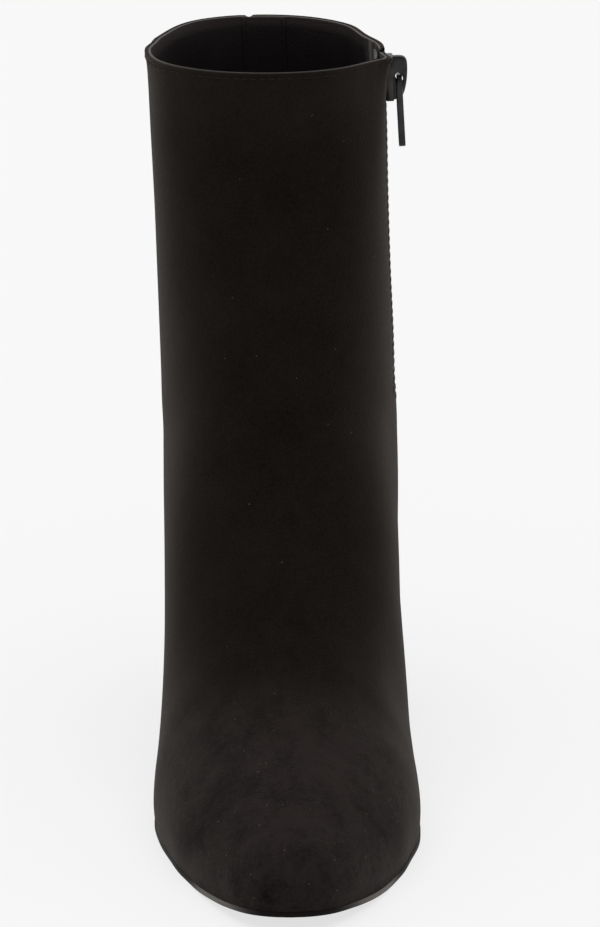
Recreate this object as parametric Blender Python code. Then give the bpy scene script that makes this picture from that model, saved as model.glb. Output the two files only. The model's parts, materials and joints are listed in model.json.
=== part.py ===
"""A right-foot ankle boot of black suede, with a closed zip on its inner side and a covered block heel.

The boot stands on the floor at z = 0 with its toe towards -Y and its inner (medial) side towards +X.
Sizes are in millimetres and angles in degrees. A mesh is turned into metres when it is made.
"""

import math

import bmesh
import bpy
from mathutils import Matrix, Vector

MM = 0.001

# Driving sizes of the boot, a women's 37
LENGTH = 228.0
BALL_WIDTH = 83.5
INSTEP_HEIGHT = 70.0
HEEL_HEIGHT = 83.0
TOE_SPRING = 6.0
WALL = 2.0
GAP = 0.3

# Outsole, insole and heel
SOLE_THICKNESS_TOE = 1.6
SOLE_THICKNESS_HEEL = 2.6
SOLE_EDGE_BEVEL = 0.6
SOLE_MARGIN = 0.6
WAIST_MARGIN = 0.2
MARGIN_EASES_FROM = 0.37 * LENGTH
MARGIN_EASES_TO = 0.57 * LENGTH
INSOLE_THICKNESS = 2.0
INSOLE_INSET = 2.4
HEEL_BREAST_AT = 0.755 * LENGTH
HEEL_FOOT_LENGTH = 46.0
HEEL_FOOT_WIDTH = 50.0
HEEL_FOOT_BACK_AT = 0.976 * LENGTH
HEEL_INSET = 0.5
HEEL_DRAW_IN = 1.5
HEEL_LEVELS = 8
HEEL_COLUMNS = 10
TOP_PIECE_THICKNESS = 6.0

# Zip on the medial side
ZIP_SHARE = 0.56
ZIP_END_ROW = 14.0
SLOT_WIDTH = 5.4
TAPE_WIDTH = 15.0
TAPE_THICKNESS = 0.7
TAPE_COLUMNS = 5
TAPE_STATIONS = 16
TAPE_GAP = 0.5
TAPE_ABOVE_END = 0.5
TAPE_BELOW_COLLAR = 1.5
CHAIN_WIDTH = 4.6
CHAIN_DEPTH = 1.8
CHAIN_TOP = 0.15
TOOTH_PITCH = 1.75
TOOTH_RELIEF = 0.55
TEETH_BELOW_COLLAR = 3.0
STOP_LENGTH = 3.4
SLIDER_LENGTH = 14.6
SLIDER_WIDTH = 8.4
SLIDER_NOSE_WIDTH = 5.6
SLIDER_TAIL_WIDTH = 7.0
SLIDER_SHOULDER = 3.4
SLIDER_THICKNESS = 2.2
SLIDER_LIFT = 0.3
SLIDER_BELOW_COLLAR = 9.2
CROWN_WIDTH = 2.2
CROWN_HOLE_LENGTH = 3.8
CROWN_HOLE_WIDTH = 3.0
CROWN_HOLE_POINTS = 12
PULL_LENGTH = 22.6
PULL_WIDTH = 5.4
PULL_END_WIDTH = 4.6
PULL_CORNER = 1.2
PULL_THICKNESS = 1.8
PULL_EYE_WIDTH = 3.0
PULL_EYE_LENGTH = 7.0
PULL_TILT = 1.0
HINGE_OUT = 1.8

# Side view of the slider's crown: distance up from the slider's middle and out from its face
CROWN_PROFILE = (
    (-7.1, -1.0),
    (-7.0, 1.4),
    (-6.2, 2.5),
    (-4.5, 3.4),
    (-1.0, 4.2),
    (2.5, 4.5),
    (5.2, 4.5),
    (6.4, 4.0),
    (7.0, 3.0),
    (7.1, 1.6),
    (7.1, -1.0),
)

# Underside of the outsole, with a flat spot under the forefoot: distance behind the toe, height and slope
TREAD = (
    (0.0, TOE_SPRING, -0.23),
    (0.22 * LENGTH, 0.0, 0.0),
    (0.38 * LENGTH, 0.0, 0.0),
    (0.66 * LENGTH, 0.53 * HEEL_HEIGHT, 0.86),
    (LENGTH, HEEL_HEIGHT, 0.17),
)

# Sections of the upper. The plane of each runs from a point on the front line to one behind or below.
# Distances behind the toe are percentages of the length, heights over the sole's edge of the instep height.
# Half-widths and the shift to the medial side are percentages of the ball width.
# The widest place is a share of the way from back to front, and a roundness of 2 is an ellipse.
SECTION_COLUMNS = (
    "front_at", "front_over", "back_at", "back_over",
    "medial", "lateral", "shift", "widest", "front_round", "back_round",
)
SECTIONS = (
    (0.8, 0.0, 15.8, -16.0, 27.1, 27.1, 1.2, 0.02, 2.0, 2.0),
    (0.35, 5.8, 16.2, -17.4, 27.3, 27.3, 1.4, 0.02, 2.0, 2.0),
    (0.45, 13.0, 17.1, -18.6, 29.9, 29.7, 1.8, 0.04, 2.0, 2.0),
    (1.6, 20.4, 18.4, -19.9, 32.6, 32.3, 2.2, 0.08, 2.0, 2.1),
    (4.2, 28.1, 20.2, -21.1, 35.3, 35.1, 2.3, 0.16, 2.0, 2.2),
    (8.8, 36.6, 23.2, -21.1, 38.8, 38.3, 2.2, 0.28, 2.05, 2.5),
    (15.8, 47.4, 27.2, -21.1, 44.2, 43.6, 1.9, 0.42, 2.1, 2.8),
    (24.1, 58.4, 33.3, -19.7, 49.0, 48.6, 1.8, 0.36, 2.1, 3.0),
    (32.5, 71.8, 40.4, -13.5, 49.5, 51.1, 1.7, 0.27, 2.1, 3.0),
    (39.9, 88.2, 49.1, -13.3, 46.3, 48.1, 1.6, 0.31, 2.1, 2.6),
    (46.1, 101.8, 59.6, -17.2, 44.9, 46.0, 1.3, 0.42, 2.1, 2.2),
    (50.9, 116.0, 71.9, -21.3, 44.8, 45.5, 1.0, 0.48, 2.1, 1.9),
    (54.2, 131.9, 87.7, -30.0, 45.0, 45.4, 0.6, 0.50, 2.1, 1.75),
    (55.9, 144.2, 98.2, -27.4, 45.1, 45.3, 0.4, 0.51, 2.1, 1.7),
    (57.1, 156.9, 99.25, 0.0, 45.3, 45.3, 0.0, 0.52, 2.1, 2.2),
    (58.1, 177.6, 99.7, 36.0, 45.3, 45.3, -0.7, 0.53, 2.1, 2.3),
    (58.6, 203.1, 97.1, 80.5, 44.9, 45.0, -1.8, 0.55, 2.15, 2.3),
    (58.8, 231.2, 95.3, 124.9, 44.8, 44.9, -2.8, 0.56, 2.2, 2.2),
    (58.6, 258.8, 94.6, 166.8, 45.1, 45.3, -3.8, 0.58, 2.15, 2.1),
    (58.3, 279.4, 94.6, 198.3, 45.1, 45.7, -4.7, 0.60, 2.1, 2.1),
    (58.1, 288.6, 94.8, 209.2, 45.3, 46.7, -5.0, 0.61, 2.1, 2.15),
)
WAIST_ROW = 11
HEEL_CORNER_ROW = 14
COLLAR_ROW = len(SECTIONS) - 1

# Mesh steps: rows between the sections, columns along one side
UPPER_STEPS = ((0, 1.0), (5, 0.5), (12, 0.25), (13.5, 0.125), (14, 0.5))
SOLE_STEPS = ((0, 0.25), (5, 0.5), (12, 0.25), (13, 0.125), (13.75, 0.0625))
RING_SAMPLES = 96
HALF_COLUMNS = 16
SHORT_SIDE = 100.0
FREE_BESIDE_ZIP = 0.55
ZIP_SAMPLES = 80
ROW_STEP = 0.05
EDGE_MATCH = 0.05
MERGE = 0.01
SMOOTH_ANGLE = 40.0
MEDIAL, LATERAL = 1, -1


def hermite(rows, at):
    """Height at a distance behind the toe, on the smooth curve through rows of distance, height and slope."""
    for (a, height_a, slope_a), (b, height_b, slope_b) in zip(rows, rows[1:]):
        if at <= b:
            break
    span = b - a
    u = (at - a) / span
    rise = height_a * (2 * u**3 - 3 * u**2 + 1) + height_b * (3 * u**2 - 2 * u**3)
    return rise + span * (slope_a * (u**3 - 2 * u**2 + u) + slope_b * (u**3 - u**2))


def tread(at):
    """Height of the outsole's underside."""
    return hermite(TREAD, at)


def sole_top(at):
    """Height of the outsole's upper face."""
    share = min(max(at / LENGTH, 0.0), 1.0)
    return tread(at) + SOLE_THICKNESS_TOE + share * (SOLE_THICKNESS_HEEL - SOLE_THICKNESS_TOE)


def sole_line(at):
    """Height of the upper's lower edge, just clear of the outsole."""
    return sole_top(at) + GAP


def section(row):
    """Section at a row number, which may lie between two rows of the table."""
    low = min(int(row), COLLAR_ROW - 1)
    picks = [SECTIONS[min(max(low + step, 0), COLLAR_ROW)] for step in (-1, 0, 1, 2)]
    values = []
    for before, start, end, after in zip(*picks):
        ends = ((0.0, start, (end - before) / 2), (1.0, end, (after - start) / 2))
        values.append(hermite(ends, row - low))
    shape = dict(zip(SECTION_COLUMNS, values))
    for end in ("front", "back"):
        at = shape[end + "_at"] / 100 * LENGTH
        shape[end + "_at"] = at
        shape[end + "_up"] = sole_line(at) + shape[end + "_over"] / 100 * INSTEP_HEIGHT
    for width in ("medial", "lateral", "shift"):
        shape[width] *= BALL_WIDTH / 100
    return shape


def side_curve(shape, side):
    """Points along one side of a section, from the sole's edge or the back seam to the front line."""
    half = shape["medial"] if side == MEDIAL else shape["lateral"]
    widest = shape["widest"]
    points = []
    clear = 0.0
    for step in range(RING_SAMPLES + 1):
        angle = math.pi * (1 - step / RING_SAMPLES)
        if angle > math.pi / 2:
            power = 2 / shape["front_round"]
            along = widest + (1 - widest) * math.sin(angle - math.pi / 2) ** power
            across = math.cos(angle - math.pi / 2) ** power
        else:
            power = 2 / shape["back_round"]
            along = widest * (1 - math.cos(angle) ** power)
            across = math.sin(angle) ** power
        at = shape["back_at"] + (shape["front_at"] - shape["back_at"]) * along
        up = shape["back_up"] + (shape["front_up"] - shape["back_up"]) * along
        point = Vector((shape["shift"] + side * half * across, at, up))
        over = up - sole_line(at)
        if points and over < 0:
            points.append(points[-1].lerp(point, clear / (clear - over)))
            break
        points.append(point)
        clear = over
    return points[::-1]


def path_length(points):
    """Length of a path of points."""
    return sum((b - a).length for a, b in zip(points, points[1:]))


def resample(points, shares):
    """Points at rising shares of a path's length."""
    total = path_length(points)
    found = []
    index = 0
    walked = 0.0
    for share in shares:
        target = share * total
        step = (points[index + 1] - points[index]).length
        while walked + step < target and index < len(points) - 2:
            walked += step
            index += 1
            step = (points[index + 1] - points[index]).length
        part = (target - walked) / step if step else 0.0
        found.append(points[index].lerp(points[index + 1], min(part, 1.0)))
    return found


def column_length(row, side):
    """Length shared out among the columns. It grows evenly where the sole cuts off more and more heel."""
    if not WAIST_ROW < row < HEEL_CORNER_ROW:
        return path_length(side_curve(section(row), side))
    waist, heel = (path_length(side_curve(section(end), side)) for end in (WAIST_ROW, HEEL_CORNER_ROW))
    return waist + (heel - waist) * (row - WAIST_ROW) / (HEEL_CORNER_ROW - WAIST_ROW)


def side_points(row, side, shares):
    """Points of one side at shares of its columns' length. Those past the sole's edge end on that edge."""
    points = side_curve(section(row), side)
    reach = path_length(points)
    stretch = column_length(row, side) / reach if reach else 1.0
    return resample(points, [max(1 - (1 - share) * stretch, 0.0) for share in shares])


def column_shares(row, side):
    """Where the columns of the upper lie along one side. The medial side has one at each edge of the zip."""
    even = [k / HALF_COLUMNS for k in range(HALF_COLUMNS + 1)]
    if side == LATERAL:
        return even
    edge = SLOT_WIDTH / 2 / max(column_length(row, side), SHORT_SIDE)
    kept = [share for share in even if abs(share - ZIP_SHARE) > FREE_BESIDE_ZIP / HALF_COLUMNS]
    return sorted(kept + [ZIP_SHARE - edge, ZIP_SHARE + edge])


def ring(row):
    """Points around a section, from the lateral edge over the front line to the medial edge."""
    lateral, medial = (side_points(row, side, column_shares(row, side)) for side in (LATERAL, MEDIAL))
    return lateral + medial[-2::-1]


def stepped_rows(steps, last):
    """Row numbers from 0 to the last row, with steps given from certain rows on."""
    rows = []
    row = 0.0
    while row < last:
        rows.append(row)
        row += [step for start, step in steps if row >= start][-1]
    return rows + [float(last)]


def medial_point(row, across):
    """Point on the outer surface at a distance in front of the zip's line."""
    return side_points(row, MEDIAL, [ZIP_SHARE + across / column_length(row, MEDIAL)])[0]


def zip_frame(row, across=0.0):
    """Point on the outer surface by the zip, and the directions to the front, up the zip and outwards."""
    front = (medial_point(row, across + 1) - medial_point(row, across - 1)).normalized()
    up = (medial_point(row + ROW_STEP, across) - medial_point(row - ROW_STEP, across)).normalized()
    out = up.cross(front).normalized()
    return medial_point(row, across), out.cross(up), up, out


def zip_path():
    """Rows along the zip, each with its distance up from the lower end of the slot."""
    span = COLLAR_ROW - ZIP_END_ROW
    rows = [ZIP_END_ROW + span * k / ZIP_SAMPLES for k in range(ZIP_SAMPLES + 1)]
    points = [medial_point(row, 0.0) for row in rows]
    reach = [path_length(points[: k + 1]) for k in range(len(points))]
    return list(zip(reach, rows))


def zip_row(path, distance):
    """Row at a distance up the zip."""
    for (low, row_low), (high, row_high) in zip(path, path[1:]):
        if distance <= high:
            break
    return row_low + (row_high - row_low) * (distance - low) / (high - low)


def sole_sides(margin):
    """Edge of the sole as pairs of lateral and medial points from toe to heel, set out from the upper."""
    rows = stepped_rows(SOLE_STEPS, HEEL_CORNER_ROW)
    lateral = [side_curve(section(row), LATERAL)[0] for row in rows]
    medial = [side_curve(section(row), MEDIAL)[0] for row in rows]
    loop = lateral + medial[-2:0:-1]
    count = len(loop)
    moved = []
    for k, point in enumerate(loop):
        run = loop[(k + 1) % count] - loop[k - 1]
        outward = Vector((-run.y, run.x, 0.0)).normalized()
        moved.append(point + outward * margin(point.y))
    return [(moved[k], moved[-k % count]) for k in range(len(lateral))]


def edge_ring(pairs, height):
    """Closed loop along pairs of the sole's edge, at a height for each distance behind the toe."""
    loop = [pair[0] for pair in pairs] + [pair[1] for pair in pairs[-2:0:-1]]
    return [Vector((point.x, point.y, height(point.y))) for point in loop]


def sole_margin(at):
    """How far the outsole stands out from the upper: most at the forefoot, least from the waist on."""
    share = (at - MARGIN_EASES_FROM) / (MARGIN_EASES_TO - MARGIN_EASES_FROM)
    share = min(max(share, 0.0), 1.0)
    return SOLE_MARGIN + (WAIST_MARGIN - SOLE_MARGIN) * share


def new_material(name, colour, roughness, metallic=0.0):
    """Principled material of one sub-part."""
    material = bpy.data.materials.new(name)
    material.use_nodes = True
    shader = material.node_tree.nodes["Principled BSDF"]
    shader.inputs["Base Color"].default_value = (*colour, 1.0)
    shader.inputs["Roughness"].default_value = roughness
    shader.inputs["Metallic"].default_value = metallic
    return material


def add_object(name, bm, material, parent):
    """Object of a mesh given in millimetres, shaded smooth away from its edges."""
    bmesh.ops.recalc_face_normals(bm, faces=bm.faces)
    bmesh.ops.scale(bm, vec=(MM, MM, MM), verts=bm.verts)
    mesh = bpy.data.meshes.new(name)
    bm.to_mesh(mesh)
    bm.free()
    mesh.shade_smooth()
    mesh.set_sharp_from_angle(angle=math.radians(SMOOTH_ANGLE))
    mesh.materials.append(material)
    obj = bpy.data.objects.new(name, mesh)
    bpy.context.scene.collection.objects.link(obj)
    obj.parent = parent
    return obj


def to_boot(bm):
    """Move a mesh from distances behind the toe to the boot's own middle."""
    bmesh.ops.translate(bm, vec=(0.0, -LENGTH / 2, 0.0), verts=bm.verts)


def loft(bm, rings, closed):
    """Skin of quads through rings of as many points each."""
    grid = [[bm.verts.new(point) for point in points] for points in rings]
    for low, high in zip(grid, grid[1:]):
        count = len(low)
        for k in range(count if closed else count - 1):
            after = (k + 1) % count
            bm.faces.new((low[k], low[after], high[after], high[k]))
    return grid


def ladder(bm, loop):
    """Close a loop whose second half runs back beside its first half, rung by rung."""
    half = len(loop) // 2
    for k in range(half):
        rung = [loop[k], loop[k + 1], loop[-k - 1], loop[-k]]
        bm.faces.new(dict.fromkeys(rung))


def rim_line(at):
    """Height of the collar's rim, which falls a little towards the back."""
    rim = section(COLLAR_ROW)
    share = (at - rim["front_at"]) / (rim["back_at"] - rim["front_at"])
    return rim["front_up"] + (rim["back_up"] - rim["front_up"]) * share


def inner_place(vert):
    """Place on the inner face of the wall. Along the sole's edge and the rim it keeps that edge's height."""
    point = vert.co
    inner = point - vert.normal * WALL
    for height in (sole_line, rim_line):
        if vert.is_boundary and abs(point.z - height(point.y)) < EDGE_MATCH:
            inner = point - Vector((vert.normal.x, vert.normal.y, 0.0)).normalized() * WALL
            inner.z = height(inner.y)
    return inner


def build_upper(material, parent):
    """Upper with its lining: a sheet through all sections but the zip's slot, given its wall inwards."""
    bm = bmesh.new()
    rows = stepped_rows(UPPER_STEPS, COLLAR_ROW)
    grid = [[bm.verts.new(point) for point in ring(row)] for row in rows]
    shares = column_shares(COLLAR_ROW, MEDIAL)
    slot = HALF_COLUMNS - 1 + sum(1 for share in shares if share > ZIP_SHARE)
    for row, low, high in zip(rows, grid, grid[1:]):
        for k in range(len(low) - 1):
            if row < ZIP_END_ROW or k != slot:
                bm.faces.new((low[k], low[k + 1], high[k + 1], high[k]))
    bmesh.ops.remove_doubles(bm, verts=bm.verts, dist=MERGE)
    bm.normal_update()
    bm.verts.index_update()
    sheet = bm.faces[:]
    edges = [edge for edge in bm.edges if edge.is_boundary]
    inner = [bm.verts.new(inner_place(vert)) for vert in bm.verts[:]]
    for face in sheet:
        bm.faces.new([inner[vert.index] for vert in reversed(face.verts)])
    for edge in edges:
        a, b = edge.verts
        bm.faces.new((a, b, inner[b.index], inner[a.index]))
    to_boot(bm)
    return add_object("upper", bm, material, parent)


def build_outsole(material, parent):
    """Outsole: top edge, side and bevelled tread edge along the sole's outline."""
    bm = bmesh.new()
    wide = sole_sides(sole_margin)
    narrow = sole_sides(lambda at: sole_margin(at) - SOLE_EDGE_BEVEL)
    rings = [
        edge_ring(wide, sole_top),
        edge_ring(wide, lambda at: tread(at) + SOLE_EDGE_BEVEL),
        edge_ring(narrow, tread),
    ]
    grid = loft(bm, rings, closed=True)
    ladder(bm, grid[0])
    ladder(bm, grid[-1])
    to_boot(bm)
    return add_object("outsole", bm, material, parent)


def build_insole(material, parent):
    """Insole inside the upper's wall, with its upper edge rounded off."""
    bm = bmesh.new()
    wide = sole_sides(lambda at: -WALL - INSOLE_INSET)
    narrow = sole_sides(lambda at: -WALL - INSOLE_INSET - INSOLE_THICKNESS / 2)
    rings = [edge_ring(wide, sole_line), edge_ring(narrow, lambda at: sole_line(at) + INSOLE_THICKNESS)]
    grid = loft(bm, rings, closed=True)
    ladder(bm, grid[0])
    ladder(bm, grid[-1])
    to_boot(bm)
    return add_object("insole", bm, material, parent)


def heel_outlines():
    """Loops of the heel's top under the seat and of its foot, from the breast round the back."""
    pairs = sole_sides(lambda at: WAIST_MARGIN - HEEL_INSET)
    sides = []
    for which in (0, 1):
        points = [pair[which] for pair in pairs]
        for k, (a, b) in enumerate(zip(points, points[1:])):
            if b.y > HEEL_BREAST_AT:
                break
        corner = a.lerp(b, (HEEL_BREAST_AT - a.y) / (b.y - a.y))
        shares = [step / HEEL_COLUMNS for step in range(HEEL_COLUMNS + 1)]
        sides.append(resample([corner] + points[k + 1:], shares))
    loop = sides[0] + sides[1][-2::-1]
    back = max(point.y for point in loop)
    width = max(point.x for point in loop) - min(point.x for point in loop)
    middle = (max(point.x for point in loop) + min(point.x for point in loop)) / 2
    top = [Vector((point.x, point.y, tread(point.y) - GAP)) for point in loop]
    long = HEEL_FOOT_LENGTH / (back - HEEL_BREAST_AT)
    wide = HEEL_FOOT_WIDTH / width
    foot = []
    for point in loop:
        at = HEEL_FOOT_BACK_AT + (point.y - back) * long
        foot.append(Vector((middle + (point.x - middle) * wide, at, TOP_PIECE_THICKNESS)))
    return top, foot


def close_d(bm, loop):
    """Close a D-shaped loop that starts and ends at the two corners of its straight side."""
    half = len(loop) // 2
    for k in range(half):
        rung = [loop[k], loop[k + 1], loop[-k - 2], loop[-k - 1]]
        bm.faces.new(dict.fromkeys(rung))


def build_heel(material, parent):
    """Block heel: it narrows quickly under the seat, then runs straight to its foot."""
    bm = bmesh.new()
    top, foot = heel_outlines()
    rings = []
    for level in range(HEEL_LEVELS + 1):
        share = level / HEEL_LEVELS
        drawn_in = 1 - (1 - share) ** HEEL_DRAW_IN
        points = []
        for a, b in zip(top, foot):
            point = a.lerp(b, drawn_in)
            point.z = a.z + (b.z - a.z) * share
            points.append(point)
        rings.append(points)
    grid = loft(bm, rings, closed=True)
    close_d(bm, grid[0])
    close_d(bm, grid[-1])
    to_boot(bm)
    return add_object("heel", bm, material, parent)


def build_top_piece(material, parent):
    """Wearing piece under the heel, flat on the floor."""
    bm = bmesh.new()
    foot = heel_outlines()[1]
    rings = [[Vector((point.x, point.y, up)) for point in foot] for up in (TOP_PIECE_THICKNESS - GAP, 0.0)]
    grid = loft(bm, rings, closed=True)
    close_d(bm, grid[0])
    close_d(bm, grid[-1])
    to_boot(bm)
    return add_object("heel_top_piece", bm, material, parent)


def swept_strip(bm, path, distances, width, tops, bottom, columns):
    """Strip along the zip: its outer face at a depth for each station, its inner face at one depth."""
    rings = []
    for distance, top in zip(distances, tops):
        row = zip_row(path, distance)
        offsets = [width * (k / (columns - 1) - 0.5) for k in range(columns)]
        frames = [zip_frame(row, offset) for offset in offsets]
        outer = [frame[0] - frame[3] * top for frame in frames]
        inner = [frame[0] - frame[3] * bottom for frame in frames]
        rings.append(outer + inner[::-1])
    grid = loft(bm, rings, closed=True)
    for loop in (grid[0], grid[-1]):
        for k in range(columns - 1):
            bm.faces.new((loop[k], loop[k + 1], loop[-k - 2], loop[-k - 1]))
    to_boot(bm)


def build_tape(material, parent, path):
    """Zip tape behind the slot, from below its end to the collar."""
    bm = bmesh.new()
    reach = path[-1][0] - TAPE_BELOW_COLLAR - TAPE_ABOVE_END
    stations = [TAPE_ABOVE_END + reach * k / TAPE_STATIONS for k in range(TAPE_STATIONS + 1)]
    top = WALL + TAPE_GAP
    tops = [top] * len(stations)
    swept_strip(bm, path, stations, TAPE_WIDTH, tops, top + TAPE_THICKNESS, TAPE_COLUMNS)
    return add_object("zip_tape", bm, material, parent)


def build_chain(material, parent, path):
    """Closed chain of teeth in the slot, one ridge for each tooth."""
    bm = bmesh.new()
    start = 2 * GAP + STOP_LENGTH
    end = path[-1][0] - TEETH_BELOW_COLLAR
    count = int((end - start) / TOOTH_PITCH)
    stations = [start + TOOTH_PITCH * k / 2 for k in range(2 * count + 1)]
    tops = [CHAIN_TOP + TOOTH_RELIEF * (k % 2) for k in range(len(stations))]
    swept_strip(bm, path, stations, CHAIN_WIDTH, tops, CHAIN_DEPTH, 2)
    return add_object("zip_chain", bm, material, parent)


def build_stop(material, parent, path):
    """Clip that ends the chain at the foot of the slot."""
    bm = bmesh.new()
    stations = (GAP, GAP + STOP_LENGTH)
    swept_strip(bm, path, stations, CHAIN_WIDTH, (CHAIN_TOP, CHAIN_TOP), CHAIN_DEPTH, 2)
    return add_object("zip_bottom_stop", bm, material, parent)


def prism(bm, outline, low, high):
    """Solid between two heights over a plain outline."""
    rings = [[Vector((x, y, height)) for x, y in outline] for height in (low, high)]
    grid = loft(bm, rings, closed=True)
    bm.faces.new(grid[0])
    bm.faces.new(grid[1])


def edgewise(bm, profile, half):
    """Solid of a profile seen from the side, half its width to each side of the zip's line."""
    rings = [[Vector((x, up, out)) for up, out in profile] for x in (-half, half)]
    grid = loft(bm, rings, closed=True)
    bm.faces.new(grid[0])
    bm.faces.new(grid[1])


def combine(obj, other, operation):
    """Boolean of two objects, kept as the first object's own mesh."""
    other.hide_render = True
    other.display_type = "WIRE"
    modifier = obj.modifiers.new(operation.lower(), "BOOLEAN")
    modifier.operation = operation
    modifier.solver = "EXACT"
    modifier.object = other


def frame_matrix(point, front, up, out):
    """Placing matrix in metres whose axes run backwards, up and outwards."""
    place = Vector((point.x, point.y - LENGTH / 2, point.z)) * MM
    turn = Matrix((-front, up, out)).transposed().to_4x4()
    return Matrix.Translation(place) @ turn


def build_slider(material, parent, path):
    """Slider over the chain, with the crown that carries the pull."""
    half = SLIDER_LENGTH / 2
    nose, shoulder, tail = SLIDER_NOSE_WIDTH / 2, SLIDER_WIDTH / 2, SLIDER_TAIL_WIDTH / 2
    right = [(nose, -half), (shoulder, SLIDER_SHOULDER), (tail, half)]
    outline = right + [(-x, y) for x, y in right[::-1]]
    bm = bmesh.new()
    prism(bm, outline, SLIDER_LIFT, SLIDER_LIFT + SLIDER_THICKNESS)
    slider = add_object("zip_slider", bm, material, parent)
    face = SLIDER_LIFT + SLIDER_THICKNESS
    bm = bmesh.new()
    edgewise(bm, [(up, face + out) for up, out in CROWN_PROFILE], CROWN_WIDTH / 2)
    crown = add_object("crown_of_slider", bm, material, slider)
    combine(slider, crown, "UNION")
    hole = []
    for step in range(CROWN_HOLE_POINTS):
        angle = 2 * math.pi * step / CROWN_HOLE_POINTS
        up = CROWN_HOLE_LENGTH / 2 * math.cos(angle)
        out = face + HINGE_OUT + CROWN_HOLE_WIDTH / 2 * math.sin(angle)
        hole.append((up, out))
    bm = bmesh.new()
    edgewise(bm, hole, CROWN_WIDTH)
    hole_cutter = add_object("hole_of_crown", bm, material, slider)
    combine(slider, hole_cutter, "DIFFERENCE")
    slider.matrix_world = frame_matrix(*slider_frame(path))
    return slider


def slider_frame(path):
    """Point and directions of the zip under the middle of the slider."""
    return zip_frame(zip_row(path, path[-1][0] - SLIDER_BELOW_COLLAR))


def hinge_frame(path):
    """Middle of the pull's crossbar in the crown's hole, with the slider's directions."""
    point, front, up, out = slider_frame(path)
    middle = point + out * (SLIDER_LIFT + SLIDER_THICKNESS + HINGE_OUT)
    return middle, front, up, out


def build_pull(material, parent, path):
    """Pull tab, hung by its crossbar on the crown."""
    half = PULL_THICKNESS / 2
    eye = half + PULL_EYE_LENGTH
    right = [
        (PULL_WIDTH / 2, half), (PULL_WIDTH / 2, -eye), (PULL_END_WIDTH / 2, PULL_CORNER - PULL_LENGTH),
        (PULL_END_WIDTH / 2 - PULL_CORNER, -PULL_LENGTH),
    ]
    outline = right + [(-x, y) for x, y in right[::-1]]
    bm = bmesh.new()
    prism(bm, outline, -half, half)
    pull = add_object("zip_pull", bm, material, parent)
    bm = bmesh.new()
    side = PULL_EYE_WIDTH / 2
    prism(bm, [(side, -half), (side, -eye), (-side, -eye), (-side, -half)], -2 * half, 2 * half)
    eye_cutter = add_object("eye_of_pull", bm, material, pull)
    combine(pull, eye_cutter, "DIFFERENCE")
    tilt = Matrix.Rotation(math.radians(-PULL_TILT), 4, "X")
    pull.matrix_world = frame_matrix(*hinge_frame(path)) @ tilt
    return pull


def main():
    """Build every sub-part under one empty."""
    for obj in list(bpy.data.objects):
        bpy.data.objects.remove(obj, do_unlink=True)
    boot = bpy.data.objects.new("boot", None)
    bpy.context.scene.collection.objects.link(boot)
    suede = new_material("suede", (0.012, 0.010, 0.009), 0.95)
    sole = new_material("sole", (0.012, 0.012, 0.012), 0.45)
    heel_cover = new_material("heel_cover", (0.012, 0.010, 0.009), 0.95)
    top_piece = new_material("top_piece", (0.010, 0.010, 0.010), 0.6)
    lining = new_material("lining", (0.014, 0.012, 0.010), 0.7)
    woven = new_material("woven", (0.010, 0.010, 0.010), 0.9)
    gunmetal = new_material("gunmetal", (0.06, 0.06, 0.062), 0.35, 1.0)
    path = zip_path()
    build_upper(suede, boot)
    build_insole(lining, boot)
    build_outsole(sole, boot)
    build_heel(heel_cover, boot)
    build_top_piece(top_piece, boot)
    build_tape(woven, boot, path)
    build_chain(gunmetal, boot, path)
    build_stop(gunmetal, boot, path)
    build_slider(gunmetal, boot, path)
    build_pull(gunmetal, boot, path)


main()
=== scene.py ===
"""Looks of a right-foot ankle boot in black suede, with a zip on its inner side and a covered block heel.

Everything is in metres in the frame of the solids: the toe is towards -Y and the inner side towards +X.
The shape functions use "at", the distance behind the toe's tip, in place of y.
"""

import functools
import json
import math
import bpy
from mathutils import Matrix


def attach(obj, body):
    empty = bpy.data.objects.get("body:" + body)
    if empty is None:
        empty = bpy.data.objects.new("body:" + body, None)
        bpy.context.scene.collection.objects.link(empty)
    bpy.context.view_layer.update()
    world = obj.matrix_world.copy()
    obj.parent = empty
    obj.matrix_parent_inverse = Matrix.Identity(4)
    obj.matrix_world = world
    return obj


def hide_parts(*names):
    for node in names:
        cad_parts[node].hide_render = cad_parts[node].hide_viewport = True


bl_info = {
    "name": "Suede ankle boot",
    "version": (1, 0, 0),
    "blender": (4, 5, 0),
    "location": "3D View > Sidebar > Boot",
    "description": "Dresses the solids of an ankle boot with suede, lining, sewing, sole, heel and zip",
    "category": "Object",
}

import bmesh
import bpy
from bpy.props import FloatProperty, FloatVectorProperty, PointerProperty
from mathutils import Matrix, Vector

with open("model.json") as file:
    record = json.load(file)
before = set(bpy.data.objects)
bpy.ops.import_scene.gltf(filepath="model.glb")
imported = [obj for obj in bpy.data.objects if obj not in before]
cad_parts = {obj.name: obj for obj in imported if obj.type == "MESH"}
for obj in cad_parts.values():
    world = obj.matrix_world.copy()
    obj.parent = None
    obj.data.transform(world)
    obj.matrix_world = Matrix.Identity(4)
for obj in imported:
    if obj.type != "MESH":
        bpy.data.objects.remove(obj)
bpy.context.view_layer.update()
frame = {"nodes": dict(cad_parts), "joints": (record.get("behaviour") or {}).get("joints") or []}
HINGE = frame["joints"][0]

MM = 0.001

# Driving sizes of the boot, as in its solids
LENGTH = 228.0 * MM
BALL_WIDTH = 83.5 * MM
INSTEP_HEIGHT = 70.0 * MM
HEEL_HEIGHT = 83.0 * MM
TOE_SPRING = 6.0 * MM
WALL = 2.0 * MM
GAP = 0.3 * MM

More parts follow.
